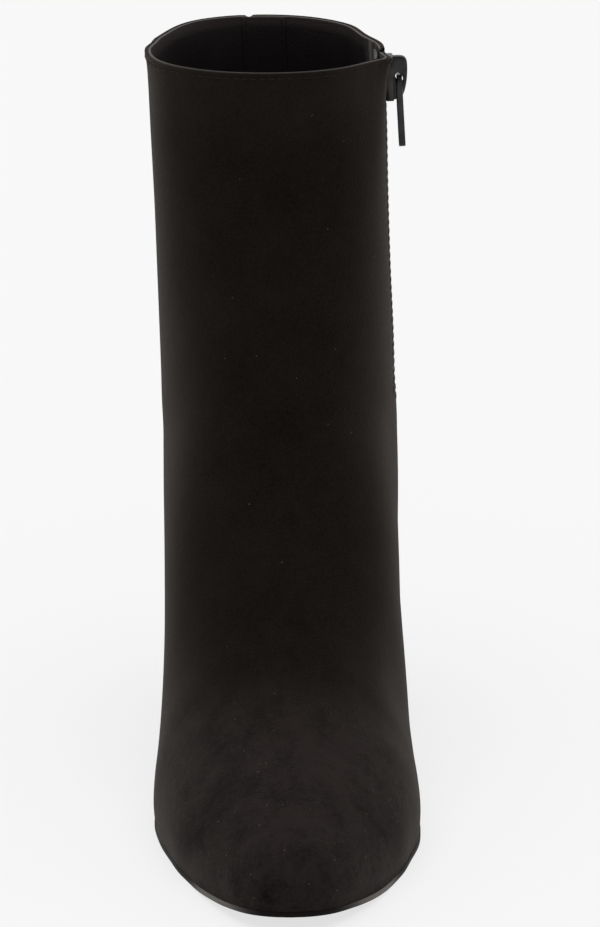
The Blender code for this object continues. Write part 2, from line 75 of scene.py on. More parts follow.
# Outsole, insole and heel
SOLE_THICKNESS_TOE = 1.6 * MM
SOLE_THICKNESS_HEEL = 2.6 * MM
SOLE_MARGIN = 0.6 * MM
WAIST_MARGIN = 0.2 * MM
TUCK = 0.5 * MM
TUCK_AT = 0.30 * LENGTH
TUCK_REACH = 0.16 * LENGTH
MARGIN_EASES_FROM = 0.37 * LENGTH
MARGIN_EASES_TO = 0.57 * LENGTH
SOLE_EDGE_BEVEL = 0.6 * MM
SOLE_TOP_BEVEL = 0.25 * MM
SOLE_COLUMNS = 14
UNDERSIDE_WITHIN = 0.1 * MM
FACING_DOWN = -0.75
INSOLE_THICKNESS = 2.0 * MM
INSOLE_INSET = 2.4 * MM
INSOLE_BEVEL = 0.8 * MM
HEEL_BREAST_AT = 0.755 * LENGTH
HEEL_FOOT_LENGTH = 46.0 * MM
HEEL_FOOT_WIDTH = 50.0 * MM
HEEL_FOOT_BACK_AT = 0.976 * LENGTH
HEEL_INSET = 0.5 * MM
HEEL_DRAW_IN = 1.5
HEEL_LEVELS = 30
HEEL_COLUMNS = 28
HEEL_CORNER_BEVEL = 1.2 * MM
HEEL_CORNER_ANGLE = 50.0
HEEL_EDGE_BEVEL = 0.4 * MM
UPRIGHT = 0.5 * MM
TOP_PIECE_THICKNESS = 6.0 * MM

# Zip on the medial side
ZIP_SHARE = 0.56
ZIP_END_ROW = 14.0
SLOT_WIDTH = 5.4 * MM
CHAIN_WIDTH = 4.6 * MM
CHAIN_DEPTH = 1.8 * MM
CHAIN_TOP = 0.15 * MM
TOOTH_PITCH = 1.75 * MM
TOOTH_OFFSET = 0.45 * MM
TOOTH_HEIGHT = 0.82 * MM
TOOTH_BEVEL = 0.2 * MM
TEETH_BELOW_COLLAR = 3.0 * MM
STOP_LENGTH = 3.4 * MM
STOP_BEVEL = 0.4 * MM
SLIDER_LENGTH = 14.6 * MM
SLIDER_WIDTH = 8.4 * MM
SLIDER_NOSE_WIDTH = 5.6 * MM
SLIDER_TAIL_WIDTH = 7.0 * MM
SLIDER_SHOULDER = 3.4 * MM
SLIDER_THICKNESS = 2.2 * MM
SLIDER_LIFT = 0.3 * MM
SLIDER_SINK = 0.25 * MM
SLIDER_HOLLOW = 40.0 * MM
SLIDER_END_SHARE = 0.8
SLIDER_END_CORNER = 0.8 * MM
SLIDER_BEVEL = 0.5 * MM
SLIDER_BEVEL_ANGLE = 40.0
SLIDER_BELOW_COLLAR = 9.2 * MM
CROWN_WIDTH = 2.2 * MM
CROWN_HOLE_LENGTH = 3.4 * MM
CROWN_HOLE_WIDTH = 2.2 * MM
CROWN_HOLE_TILT = -24.0
CROWN_HOLE_START = -160.0
CROWN_POINTS = 64
CROWN_BEVEL = 0.3 * MM
PULL_LENGTH = 22.6 * MM
PULL_WIDTH = 5.4 * MM
PULL_END_WIDTH = 4.6 * MM
PULL_THICKNESS = 1.8 * MM
PULL_EYE_WIDTH = 3.0 * MM
PULL_EYE_LENGTH = 7.0 * MM
PULL_CORNER = 1.2 * MM
PULL_EYE_CORNER = 0.8 * MM
PULL_BEVEL = 0.3 * MM
PULL_POINTS = 48
PULL_TILT = 1.0
PULL_SWELL = 0.35 * MM
HINGE_OUT = 1.8 * MM
CORNER_STEPS = 6

# Side view of the slider's crown in millimetres: up from the slider's middle and out from its face
CROWN_PROFILE = (
    (-7.1, -1.0), (-7.0, 1.4), (-6.2, 2.5), (-4.5, 3.4), (-1.0, 4.2), (2.5, 4.5), (5.2, 4.5), (6.4, 4.0),
    (7.0, 3.0), (7.1, 1.6), (7.1, -1.0),
)

# Soft creases worn into the upper, in millimetres: three points of each, its depth and its width
# The last three are swellings of ankle and arch, with a depth below zero, and a hollow beside the ball.
CREASES = (
    ((17, -47, 51), (29, -41, 40), (38, -34, 26), 0.25, 5.5),
    ((-15, -45, 51), (-27, -37, 42), (-36, -25, 30), 0.2, 6.0),
    ((-22, -60, 42), (0, -64, 46), (22, -61, 42), 0.2, 6.0),
    ((-30, 24, 108), (0, 3, 98), (29, 22, 105), 0.5, 8.0),
    ((-27, 10, 88), (2, -9, 82), (29, 14, 92), 0.35, 8.0),
    ((34, 58, 96), (35, 72, 103), (31, 86, 112), 0.4, 6.0),
    ((-34, 58, 98), (-36, 72, 105), (-32, 86, 115), 0.4, 6.0),
    ((38, 36, 78), (38, 56, 98), (38, 62, 119), -0.75, 9.0),
    ((38, 15, 60), (39, -3, 35), (41, -25, 22), -0.9, 9.0),
    ((-39, -15, 28), (-41, -27, 13), (-40, -34, 0), 0.55, 8.0),
)
CREASE_REACH = 4.0
RIDGE_AT = 1.7
RIDGE_WIDTH = 0.8
RIDGE_SHARE = 0.25

# Underside of the outsole: distance behind the toe, height and slope
TREAD = (
    (0.0, TOE_SPRING, -0.23),
    (0.22 * LENGTH, 0.0, 0.0),
    (0.38 * LENGTH, 0.0, 0.0),
    (0.66 * LENGTH, 0.53 * HEEL_HEIGHT, 0.86),
    (LENGTH, HEEL_HEIGHT, 0.17),
)

# Sections of the upper. The plane of each runs from a point on the front line to one behind or below.
# Distances behind the toe are percentages of the length, heights over the sole's edge of the instep height.
# Half-widths and the shift to the medial side are percentages of the ball width.
# The widest place is a share of the way from back to front, and a roundness of 2 is an ellipse.
SECTION_COLUMNS = (
    "front_at", "front_over", "back_at", "back_over",
    "medial", "lateral", "shift", "widest", "front_round", "back_round",
)
SECTIONS = (
    (0.8, 0.0, 15.8, -16.0, 27.1, 27.1, 1.2, 0.02, 2.0, 2.0),
    (0.35, 5.8, 16.2, -17.4, 27.3, 27.3, 1.4, 0.02, 2.0, 2.0),
    (0.45, 13.0, 17.1, -18.6, 29.9, 29.7, 1.8, 0.04, 2.0, 2.0),
    (1.6, 20.4, 18.4, -19.9, 32.6, 32.3, 2.2, 0.08, 2.0, 2.1),
    (4.2, 28.1, 20.2, -21.1, 35.3, 35.1, 2.3, 0.16, 2.0, 2.2),
    (8.8, 36.6, 23.2, -21.1, 38.8, 38.3, 2.2, 0.28, 2.05, 2.5),
    (15.8, 47.4, 27.2, -21.1, 44.2, 43.6, 1.9, 0.42, 2.1, 2.8),
    (24.1, 58.4, 33.3, -19.7, 49.0, 48.6, 1.8, 0.36, 2.1, 3.0),
    (32.5, 71.8, 40.4, -13.5, 49.5, 51.1, 1.7, 0.27, 2.1, 3.0),
    (39.9, 88.2, 49.1, -13.3, 46.3, 48.1, 1.6, 0.31, 2.1, 2.6),
    (46.1, 101.8, 59.6, -17.2, 44.9, 46.0, 1.3, 0.42, 2.1, 2.2),
    (50.9, 116.0, 71.9, -21.3, 44.8, 45.5, 1.0, 0.48, 2.1, 1.9),
    (54.2, 131.9, 87.7, -30.0, 45.0, 45.4, 0.6, 0.50, 2.1, 1.75),
    (55.9, 144.2, 98.2, -27.4, 45.1, 45.3, 0.4, 0.51, 2.1, 1.7),
    (57.1, 156.9, 99.25, 0.0, 45.3, 45.3, 0.0, 0.52, 2.1, 2.2),
    (58.1, 177.6, 99.7, 36.0, 45.3, 45.3, -0.7, 0.53, 2.1, 2.3),
    (58.6, 203.1, 97.1, 80.5, 44.9, 45.0, -1.8, 0.55, 2.15, 2.3),
    (58.8, 231.2, 95.3, 124.9, 44.8, 44.9, -2.8, 0.56, 2.2, 2.2),
    (58.6, 258.8, 94.6, 166.8, 45.1, 45.3, -3.8, 0.58, 2.15, 2.1),
    (58.3, 279.4, 94.6, 198.3, 45.1, 45.7, -4.7, 0.60, 2.1, 2.1),
    (58.1, 288.6, 94.8, 209.2, 45.3, 46.7, -5.0, 0.61, 2.1, 2.15),
)
MEDIAL, LATERAL = 1, -1

# Soft waves of the collar: side, share along it, reach as a share, depth outwards and the row where it starts
COLLAR_WAVES = (
    (LATERAL, 0.37, 0.20, -2.1 * MM, 17.0),
    (LATERAL, 0.47, 0.06, -0.7 * MM, 18.0),
    (LATERAL, 0.58, 0.15, -0.8 * MM, 17.0),
    (MEDIAL, 0.375, 0.13, -2.0 * MM, 17.0),
    (MEDIAL, 0.66, 0.075, 1.6 * MM, 16.5),
    (MEDIAL, 0.637, 0.042, 2.4 * MM, 17.8),
)
WAVES_FROM = 16.5
WAIST_ROW = 11
HEEL_CORNER_ROW = 14
COLLAR_ROW = len(SECTIONS) - 1

# Skins of the upper, on the sole and in each other. What is below the rim is given in rows of sections.
SETTLE = 0.25 * MM
SPREAD = 0.75
SPREAD_REACH = 2.5 * MM
SOLE_CLEARANCE = 2.0 * MM
FACING_UP = 0.5
RIM_REACH = 0.3
LINING_FIRST_ROW = 3.0
LINING_BELOW_RIM = 0.05
LINING_CLEARANCE = 0.05 * MM
LINING_BEVEL = 0.2 * MM
STRIP_FIRST_ROW = 15.0
STRIP_BELOW_RIM = 0.12
STRIP_CLEARANCE = 0.02 * MM
STRIP_THICKNESS = 0.35 * MM
STRIP_BEVEL = 0.15 * MM
STRIP_LEVELS = 24
STRIP_COLUMNS = 4

# Rows of stitches, with the points by which each is laid
COLLAR_SAMPLES = 90
ZIP_STITCH_FROM = ZIP_END_ROW - 0.12
ZIP_STITCH_TO = COLLAR_ROW - 0.3
ZIP_STITCH_SAMPLES = 60
ZIP_END_SAMPLES = 12
STRIP_STITCH_TO = COLLAR_ROW - 0.2
STRIP_STITCH_SAMPLES = 40
STRIP_STITCH_INSET = 1.2 * MM
STRIP_STITCH_LIFT = 0.08 * MM
NEAR_SHARES = (0.7, 1.0, 1.3)

# Fineness of the skins: row steps from certain rows on, columns along one side
SUEDE_STEPS = ((0, 0.125), (5, 0.1), (11, 0.0625), (14, 0.1))
LINING_STEPS = ((0, 0.25), (12, 0.125), (14, 0.25))
SOLE_STEPS = ((0, 0.0625), (5, 0.125), (12, 0.0625), (13, 0.03125), (13.75, 0.015625))
SIDE_SAMPLES = 320
HALF_COLUMNS = 64
SHORT_SIDE = 100.0 * MM
SEAM_COLUMNS = (-1.3, -0.55, 0.0, 0.55, 1.3)
SEAM_SHIFT = 4.7
SEAM_PLACE = 0.040
SEAM_REACH = 0.0215
NOTCH_DEPTH = 0.9 * MM
NOTCH_REACH = 1.6 * MM
NOTCH_FADE = 4.0 * MM
FREE_BESIDE_ZIP = 0.034
FREE_COLUMNS = 0.6
SLOT_COLUMNS = (-1.0, -0.5, 0.0, 0.5, 1.0)
ZIP_SAMPLES = 80
ROW_STEP = 0.05
MERGE = 0.01 * MM
SMOOTH_ANGLE = 40.0

# Camera and stage, fitted to a picture of 600 by 927 pixels
PICTURE_HEIGHT = 927
AIM = Vector((2.0 * MM, 0.0, 118.0 * MM))
CAMERA_AZIMUTH = -1.0
CAMERA_ELEVATION = 19.0
CAMERA_DISTANCE = 1.63
FOCAL_PIXELS = 5200.0
AIM_RIGHT_OF_MIDDLE = -12.2
AIM_ABOVE_MIDDLE = 22.1
SENSOR = 36.0
SKY_SIDES = 0.55
SKY_BEHIND = 0.35
SKY_ABOVE = 0.30
FLOOR_SIZE = 40.0
FLOOR_CELLS = 40
FLOOR_GLOW = 3.58
LIGHT_AIM = Vector((0.05, 0.25, -1.0))
LIGHT_STRENGTH = 1.2
LIGHT_SPREAD = 60.0
LIGHT_HEIGHT = 2.0
CAMERA_REACH = 100.0

# Patterns of the finishes: features to a metre, detail, roughness and sometimes distortion
SUEDE_DRIFT = (22.0, 3.0, 0.55)
SUEDE_BRUSHED = (100.0, 5.0, 0.65, 0.2)
SUEDE_NAP = (1700.0, 3.0, 0.7)
SUEDE_MOTTLE = (420.0, 4.0, 0.7)
SUEDE_FIBRE = (3600.0, 2.0, 0.6)
LINING_WEAR = (45.0, 3.0, 0.6)
EDGE_FIBRE = (900.0, 3.0, 0.6)
SOLE_MARKS = (160.0, 4.0, 0.6)
TREAD_SCUFF = (60.0, 5.0, 0.65)
RUBBER_SPECKLE = (1100.0, 2.0, 0.5)
RUBBER_DUST = (90.0, 4.0, 0.65)
METAL_BRUSH = (2500.0, 3.0, 0.6)
METAL_CLOUD = (260.0, 3.0, 0.55)
FLOOR_CLOUD = (2.0, 2.0, 0.5)
LINT_CELLS = 400.0
LINT_SIZE = 0.065
LINT_RARE = 0.94
PEBBLE_CELLS = 1400.0
TREAD_CELLS = 700.0

# Tones of the suede: its middle, the weights of its patterns, and how vamp, toe wall and rim change them:
# painted light on the vamp that fades to painted shade at its sides, painted shade on the toe wall and
# painted light under the rim
SUEDE_TONE = 0.44
FIBRE_WEIGHT = 0.6
DRIFT_WEIGHT = 0.6
NAP_WEIGHT = 1.5
BRUSHED_WEIGHT, BRUSHED_ON_VAMP = 0.5, 1.4
MOTTLE_WEIGHT, MOTTLE_ON_VAMP = 0.2, 0.9
# Painted light on the vamp, and how fast it falls away to painted shade at the vamp's sides
VAMP_PAINTED_LIGHT, VAMP_LIGHT_FALLOFF = 0.42, 330.0
# Painted shade on the toe wall
WALL_SHADE = 0.15
# Painted light under the rim, and more of it on the medial side
RIM_PAINTED_LIGHT, MEDIAL_RIM_PAINTED_LIGHT = 0.26, 0.2
LINT_ON_VAMP = 0.4

# Where the finishes change: the values from which and to which they do, in metres
# Where the vamp's painted light lies, and the sides where the toe wall's painted shade is deeper
VAMP_RISE, VAMP_RUN = 0.95, 0.33
VAMP_EDGE = (0.046, 0.016)
VAMP_SIDES = (0.016, 0.030)
# Where the toe wall's painted shade lies
WALL_TOP = (0.030, 0.012)
WALL_BACK = (-0.04, -0.08)
# Where the painted light under the rim lies, and its medial side
RIM_HEIGHT = (0.203, 0.226)
RIM_MEDIAL = (0.005, 0.034)
FACING_PLACE, FACING_HEIGHT, FACING_LEAN = 0.051, 0.230, 0.04
FACING_EDGE = (0.0205, 0.0170)
FACING_SEAMS = ((0.0120, 0.0150, 0.0165, 1.0), (0.0085, 0.0100, 0.0115, 0.5))
# Painted light on the lining just under the rim
LINING_RIM_PAINTED_LIGHT = (0.2258, 0.2280)
# Where the lining's cut edge turns paler, towards the back
EDGE_PALE_TOWARDS_BACK = (0.024, 0.042)
# Where the painted highlight lies on the sole's edge, at both sides of the toe
SOLE_HIGHLIGHT_MIDDLE = 0.003
SOLE_HIGHLIGHT_INNER = (0.010, 0.024)
SOLE_HIGHLIGHT_OUTER = (0.033, 0.028)
SOLE_HIGHLIGHT_BACK = (0.02, -0.07)


def length_setting(name, about, default):
    """Property of a length."""
    return FloatProperty(name=name, description=about, default=default, unit="LENGTH")


def colour_setting(name, about, default):
    """Property of a colour."""
    return FloatVectorProperty(name=name, description=about, default=default, subtype="COLOR")


class BootSizes(bpy.types.PropertyGroup):
    """Sizes of the boot's skins and sewing."""

    suede: length_setting("Suede", "Thickness of the suede", 1.1 * MM)
    lining: length_setting("Lining", "Thickness of the lining", 0.8 * MM)
    edge_round: length_setting("Edge rounding", "Rounding of turned edges", 0.35 * MM)
    seam_depth: length_setting("Seam depth", "Depth of the back seam", 0.45 * MM)
    stitch: length_setting("Stitch", "Length of one stitch", 2.2 * MM)
    stitch_pitch: length_setting("Stitch pitch", "Distance from stitch to stitch", 2.8 * MM)
    thread: length_setting("Thread", "Thickness of the thread", 0.4 * MM)
    collar_drop: length_setting("Collar row", "Distance of the stitches below the rim", 1.7 * MM)
    zip_row: length_setting("Zip row", "Distance of the stitches from the zip's slot", 2.2 * MM)
    strip_width: length_setting("Back strip", "Width of the strip over the lining's back seam", 15.0 * MM)


class BootColours(bpy.types.PropertyGroup):
    """Colours of the boot's materials and of the stage."""

    # The suede's dark and light ends carry its random nap tones and also the painted light and painted shade
    # of vamp, toe wall and rim
    suede_dark: colour_setting("Suede, dark", "Suede where the nap lies away", (0.0020, 0.0014, 0.0011))
    suede_light: colour_setting("Suede, light", "Suede where the nap is lit", (0.0150, 0.0114, 0.0090))
    # Lighter colour of the vamp: painted light, as if from above
    suede_vamp_painted_light: colour_setting("Suede, brushed", "Brushed suede of the vamp", (0.0176, 0.0138, 0.0128))
    lint: colour_setting("Lint", "Specks of lint on the suede", (0.12, 0.112, 0.10))
    lining: colour_setting("Lining", "Lining leather", (0.0047, 0.0031, 0.0030))
    zip_facing: colour_setting("Zip facing", "Facing inside, beside the zip", (0.034, 0.031, 0.028))
    lining_edge: colour_setting("Lining edge", "Cut edge of the lining", (0.045, 0.039, 0.035))
    thread: colour_setting("Thread", "Sewing thread", (0.0040, 0.0031, 0.0027))
    sole: colour_setting("Sole", "Outsole and its edge", (0.0044, 0.0034, 0.0032))
    # Colour of the painted highlight on the sole's edge beside the toe
    sole_edge_highlight: colour_setting("Sole, worn", "Sole's edge where it is dusty", (0.13, 0.12, 0.11))
    rubber: colour_setting("Heel rubber", "Top piece of the heel", (0.012, 0.012, 0.012))
    metal: colour_setting("Gunmetal", "Plating of the zip", (0.0210, 0.0210, 0.0210))
    tape: colour_setting("Zip tape", "Woven tape of the zip", (0.010, 0.009, 0.0085))
    floor: colour_setting("Floor", "Pale studio floor", (0.20, 0.20, 0.20))


def hermite(rows, at):
    """Height at a distance behind the toe, on the smooth curve through rows of distance, height and slope."""
    for (a, height_a, slope_a), (b, height_b, slope_b) in zip(rows, rows[1:]):
        if at <= b:
            break
    span = b - a
    u = (at - a) / span
    rise = height_a * (2 * u**3 - 3 * u**2 + 1) + height_b * (3 * u**2 - 2 * u**3)
    return rise + span * (slope_a * (u**3 - 2 * u**2 + u) + slope_b * (u**3 - u**2))


def tread(at):
    """Height of the outsole's underside."""
    return hermite(TREAD, at)


def sole_top(at):
    """Height of the outsole's upper face."""
    share = min(max(at / LENGTH, 0.0), 1.0)
    return tread(at) + SOLE_THICKNESS_TOE + share * (SOLE_THICKNESS_HEEL - SOLE_THICKNESS_TOE)


def sole_line(at):
    """Height of the upper's lower edge, just clear of the outsole."""
    return sole_top(at) + GAP


def section(row):
    """Section at a row number, which may lie between two rows of the table."""
    low = min(int(row), COLLAR_ROW - 1)
    picks = [SECTIONS[min(max(low + step, 0), COLLAR_ROW)] for step in (-1, 0, 1, 2)]
    values = []
    for before, start, end, after in zip(*picks):
        ends = ((0.0, start, (end - before) / 2), (1.0, end, (after - start) / 2))
        values.append(hermite(ends, row - low))
    shape = dict(zip(SECTION_COLUMNS, values))
    for end in ("front", "back"):
        at = shape[end + "_at"] / 100 * LENGTH
        shape[end + "_at"] = at
        shape[end + "_up"] = sole_line(at) + shape[end + "_over"] / 100 * INSTEP_HEIGHT
    for width in ("medial", "lateral", "shift"):
        shape[width] *= BALL_WIDTH / 100
    return shape


@functools.lru_cache(maxsize=None)
def side_curve(row, side):
    """Points along one side of a section, from the sole's edge or the back seam to the front line."""
    shape = section(row)
    half = shape["medial"] if side == MEDIAL else shape["lateral"]
    widest = shape["widest"]
    points = []
    clear = 0.0
    for step in range(SIDE_SAMPLES + 1):
        angle = math.pi * (1 - step / SIDE_SAMPLES)
        if angle > math.pi / 2:
            power = 2 / shape["front_round"]
            along = widest + (1 - widest) * math.sin(angle - math.pi / 2) ** power
            across = math.cos(angle - math.pi / 2) ** power
        else:
            power = 2 / shape["back_round"]
            along = widest * (1 - math.cos(angle) ** power)
            across = math.sin(angle) ** power
        at = shape["back_at"] + (shape["front_at"] - shape["back_at"]) * along
        up = shape["back_up"] + (shape["front_up"] - shape["back_up"]) * along
        point = Vector((shape["shift"] + side * half * across, at, up))
        over = up - sole_line(at)
        if points and over < 0:
            points.append(points[-1].lerp(point, clear / (clear - over)))
            break
        points.append(point)
        clear = over
    return points[::-1]


def even_steps(first, last, count):
    """Values from first to last in so many even steps."""
    return [first + (last - first) * k / count for k in range(count + 1)]


def path_length(points):
    """Length of a path of points."""
    return sum((b - a).length for a, b in zip(points, points[1:]))


def resample(points, shares):
    """Points at rising shares of a path's length."""
    total = path_length(points)
    found = []
    index = 0
    walked = 0.0
    for share in shares:
        target = share * total
        step = (points[index + 1] - points[index]).length
        while walked + step < target and index < len(points) - 2:
            walked += step
            index += 1
            step = (points[index + 1] - points[index]).length
        part = (target - walked) / step if step else 0.0
        found.append(points[index].lerp(points[index + 1], min(part, 1.0)))
    return found


def soften(points, passes):
    """Path with its corners cut a number of times."""
    for _ in range(passes):
        cut = [points[0]]
        for a, b in zip(points, points[1:]):
            cut += [a.lerp(b, 0.25), a.lerp(b, 0.75)]
        points = cut + [points[-1]]
    return points


@functools.lru_cache(maxsize=None)
def column_length(row, side):
    """Length shared out among the columns. It grows evenly where the sole cuts off more and more heel."""
    if not WAIST_ROW < row < HEEL_CORNER_ROW:
        return path_length(side_curve(row, side))
    waist, heel = (path_length(side_curve(end, side)) for end in (WAIST_ROW, HEEL_CORNER_ROW))
    return waist + (heel - waist) * (row - WAIST_ROW) / (HEEL_CORNER_ROW - WAIST_ROW)


def side_points(row, side, shares):
    """Points of one side at shares of its columns' length. Those past the sole's edge end on that edge."""
    points = side_curve(row, side)
    reach = path_length(points)
    stretch = column_length(row, side) / reach if reach else 1.0
    found = resample(points, [max(1 - (1 - share) * stretch, 0.0) for share in shares])
    if row > WAVES_FROM:
        middle = (points[0] + points[-1]) / 2
        for point, share in zip(found, shares):
            outward = Vector((point.x - middle.x, point.y - middle.y, 0.0)).normalized()
            point += outward * collar_wave(row, side, share)
    return found


def collar_wave(row, side, share):
    """How far the collar's rim waves outwards."""
    push = 0.0
    for wave_side, centre, reach, depth, start in COLLAR_WAVES:
        off = abs(share - centre) / reach
        if side == wave_side and off < 1 and row > start:
            rise = (row - start) / (COLLAR_ROW - start)
            push += depth * math.cos(math.pi / 2 * off) ** 2 * rise * rise * (3 - 2 * rise)
    return push


def stepped_rows(steps, last):
    """Row numbers from 0 to the last row, with steps given from certain rows on."""
    rows = []
    row = 0.0
    while row < last - MERGE:
        rows.append(row)
        row += [step for start, step in steps if row >= start - MERGE][-1]
    return rows + [float(last)]


def side_shares(row, side, columns):
    """Where the columns of a skin lie along one side: close at the back seam, and in steps over the zip."""
    length = max(column_length(row, side), SHORT_SIDE)
    even = even_steps(0.0, 1.0, columns)
    if side == LATERAL:
        seam = [(SEAM_SHIFT + off) * MM / length for off in SEAM_COLUMNS]
        return sorted([share for share in even if abs(share - SEAM_PLACE) > SEAM_REACH] + seam)
    slot = [ZIP_SHARE + k * SLOT_WIDTH / 2 / length for k in SLOT_COLUMNS]
    free = max(FREE_BESIDE_ZIP, FREE_COLUMNS / columns)
    return sorted([share for share in even if abs(share - ZIP_SHARE) > free] + slot)


def ring(row, columns, seam_depth=0.0):
    """Points around a section, from the lateral edge over the front line to the medial edge."""
    shares = side_shares(row, LATERAL, columns)
    lateral = side_points(row, LATERAL, shares)
    medial = side_points(row, MEDIAL, side_shares(row, MEDIAL, columns))
    if row > HEEL_CORNER_ROW:
        seam = SEAM_SHIFT * MM / max(column_length(row, LATERAL), SHORT_SIDE)
        groove = min(range(len(shares)), key=lambda k: abs(shares[k] - seam))
        lateral[groove] = lateral[groove] - Vector((0.0, seam_depth, 0.0))
    return lateral + medial[-2::-1]


def slot_span(columns):
    """First and last column of the zip's slot around a skin."""
    lateral = side_shares(COLLAR_ROW, LATERAL, columns)
    medial = side_shares(COLLAR_ROW, MEDIAL, columns)
    below = sum(1 for share in medial if share < ZIP_SHARE - MERGE)
    half = len(SLOT_COLUMNS) // 2
    middle = len(lateral) + len(medial) - 2 - below
    return middle - half, middle + half


def medial_point(row, across):
    """Point on the outer surface at a distance in front of the zip's line."""
    return side_points(row, MEDIAL, [ZIP_SHARE + across / column_length(row, MEDIAL)])[0]


def zip_frame(row, across=0.0):
    """Point on the outer surface by the zip, and the directions to the front, up the zip and outwards."""
    front = (medial_point(row, across + MM) - medial_point(row, across - MM)).normalized()
    up = (medial_point(row + ROW_STEP, across) - medial_point(row - ROW_STEP, across)).normalized()
    out = up.cross(front).normalized()
    return medial_point(row, across), out.cross(up), up, out


@functools.lru_cache(maxsize=None)
def zip_path():
    """Rows along the zip, each with its distance up from the lower end of the slot."""
    rows = even_steps(ZIP_END_ROW, COLLAR_ROW, ZIP_SAMPLES)
    points = [medial_point(row, 0.0) for row in rows]
    reach = [path_length(points[: k + 1]) for k in range(len(points))]
    return list(zip(reach, rows))


def zip_row(distance):
    """Row at a distance up the zip."""
    path = zip_path()
    for (low, row_low), (high, row_high) in zip(path, path[1:]):
        if distance <= high:
            break
    return row_low + (row_high - row_low) * (distance - low) / (high - low)


def zip_length():
    """Length of the slot up to the collar."""
    return zip_path()[-1][0]


def frame_matrix(point, front, up, out):
    """Placing matrix whose axes run backwards, up and outwards."""
    place = point - Vector((0.0, LENGTH / 2, 0.0))
    turn = Matrix((-front, up, out)).transposed().to_4x4()
    return Matrix.Translation(place) @ turn


def slider_place():
    """Placing matrix of the slider, parked below the collar."""
    return frame_matrix(*zip_frame(zip_row(zip_length() - SLIDER_BELOW_COLLAR)))


@functools.lru_cache(maxsize=None)
def sole_edge():
    """Edge of the upper along the sole, as lateral and medial points from toe to heel."""
    rows = stepped_rows(SOLE_STEPS, HEEL_CORNER_ROW)
    return [[side_curve(row, side)[0] for row in rows] for side in (LATERAL, MEDIAL)]


def sole_sides(margin):
    """Pairs of lateral and medial points from toe to heel, set out from the upper's edge."""
    lateral, medial = sole_edge()
    loop = lateral + medial[-2:0:-1]
    count = len(loop)
    moved = []
    for k, point in enumerate(loop):
        run = loop[(k + 1) % count] - loop[k - 1]
        outward = Vector((-run.y, run.x, 0.0)).normalized()
        moved.append(point + outward * margin(point))
    return [(moved[k], moved[-k % count]) for k in range(len(lateral))]


def sole_margin(point):
    """How far the outsole stands out from the upper: least from the waist on, and beside the little toe."""
    share = (point.y - MARGIN_EASES_FROM) / (MARGIN_EASES_TO - MARGIN_EASES_FROM)
    margin = SOLE_MARGIN + (WAIST_MARGIN - SOLE_MARGIN) * min(max(share, 0.0), 1.0)
    if point.x < 0:
        margin -= TUCK * math.exp(-(((point.y - TUCK_AT) / TUCK_REACH) ** 2))
    return margin


def heel_outlines():
    """Loops of the heel's top under the seat and of its foot, from the breast round the back."""
    pairs = sole_sides(lambda point: WAIST_MARGIN - HEEL_INSET)
    sides = []
    for which in (0, 1):
        points = [pair[which] for pair in pairs]
        for k, (a, b) in enumerate(zip(points, points[1:])):
            if b.y > HEEL_BREAST_AT:
                break
        corner = a.lerp(b, (HEEL_BREAST_AT - a.y) / (b.y - a.y))
        sides.append(resample([corner] + points[k + 1:], even_steps(0.0, 1.0, HEEL_COLUMNS)))
    loop = sides[0] + sides[1][-2::-1]
    back = max(point.y for point in loop)
    right, left = (extreme(point.x for point in loop) for extreme in (max, min))
    middle = (right + left) / 2
    top = [Vector((point.x, point.y, tread(point.y) - GAP)) for point in loop]
    long = HEEL_FOOT_LENGTH / (back - HEEL_BREAST_AT)
    wide = HEEL_FOOT_WIDTH / (right - left)
    foot = []
    for point in loop:
        at = HEEL_FOOT_BACK_AT + (point.y - back) * long
        foot.append(Vector((middle + (point.x - middle) * wide, at, TOP_PIECE_THICKNESS)))
    return top, foot


def wire_maths(operation, swapped=False):
    """Operator of a wire that adds a Math node."""
    def apply(wire, other):
        first, second = (other, wire) if swapped else (wire, other)
        return wire.finish.node("Math", {"operation": operation}, {0: first, 1: second})
    return apply


class Wire:
    """A shader socket that takes part in Python expressions."""

    def __init__(self, finish, socket):
        self.finish = finish
        self.socket = socket

    __add__ = wire_maths("ADD")
    __radd__ = wire_maths("ADD", swapped=True)
    __sub__ = wire_maths("SUBTRACT")
    __rsub__ = wire_maths("SUBTRACT", swapped=True)
    __mul__ = wire_maths("MULTIPLY")
    __rmul__ = wire_maths("MULTIPLY", swapped=True)
    __pow__ = wire_maths("POWER")
    __gt__ = wire_maths("GREATER_THAN")
    __lt__ = wire_maths("LESS_THAN")


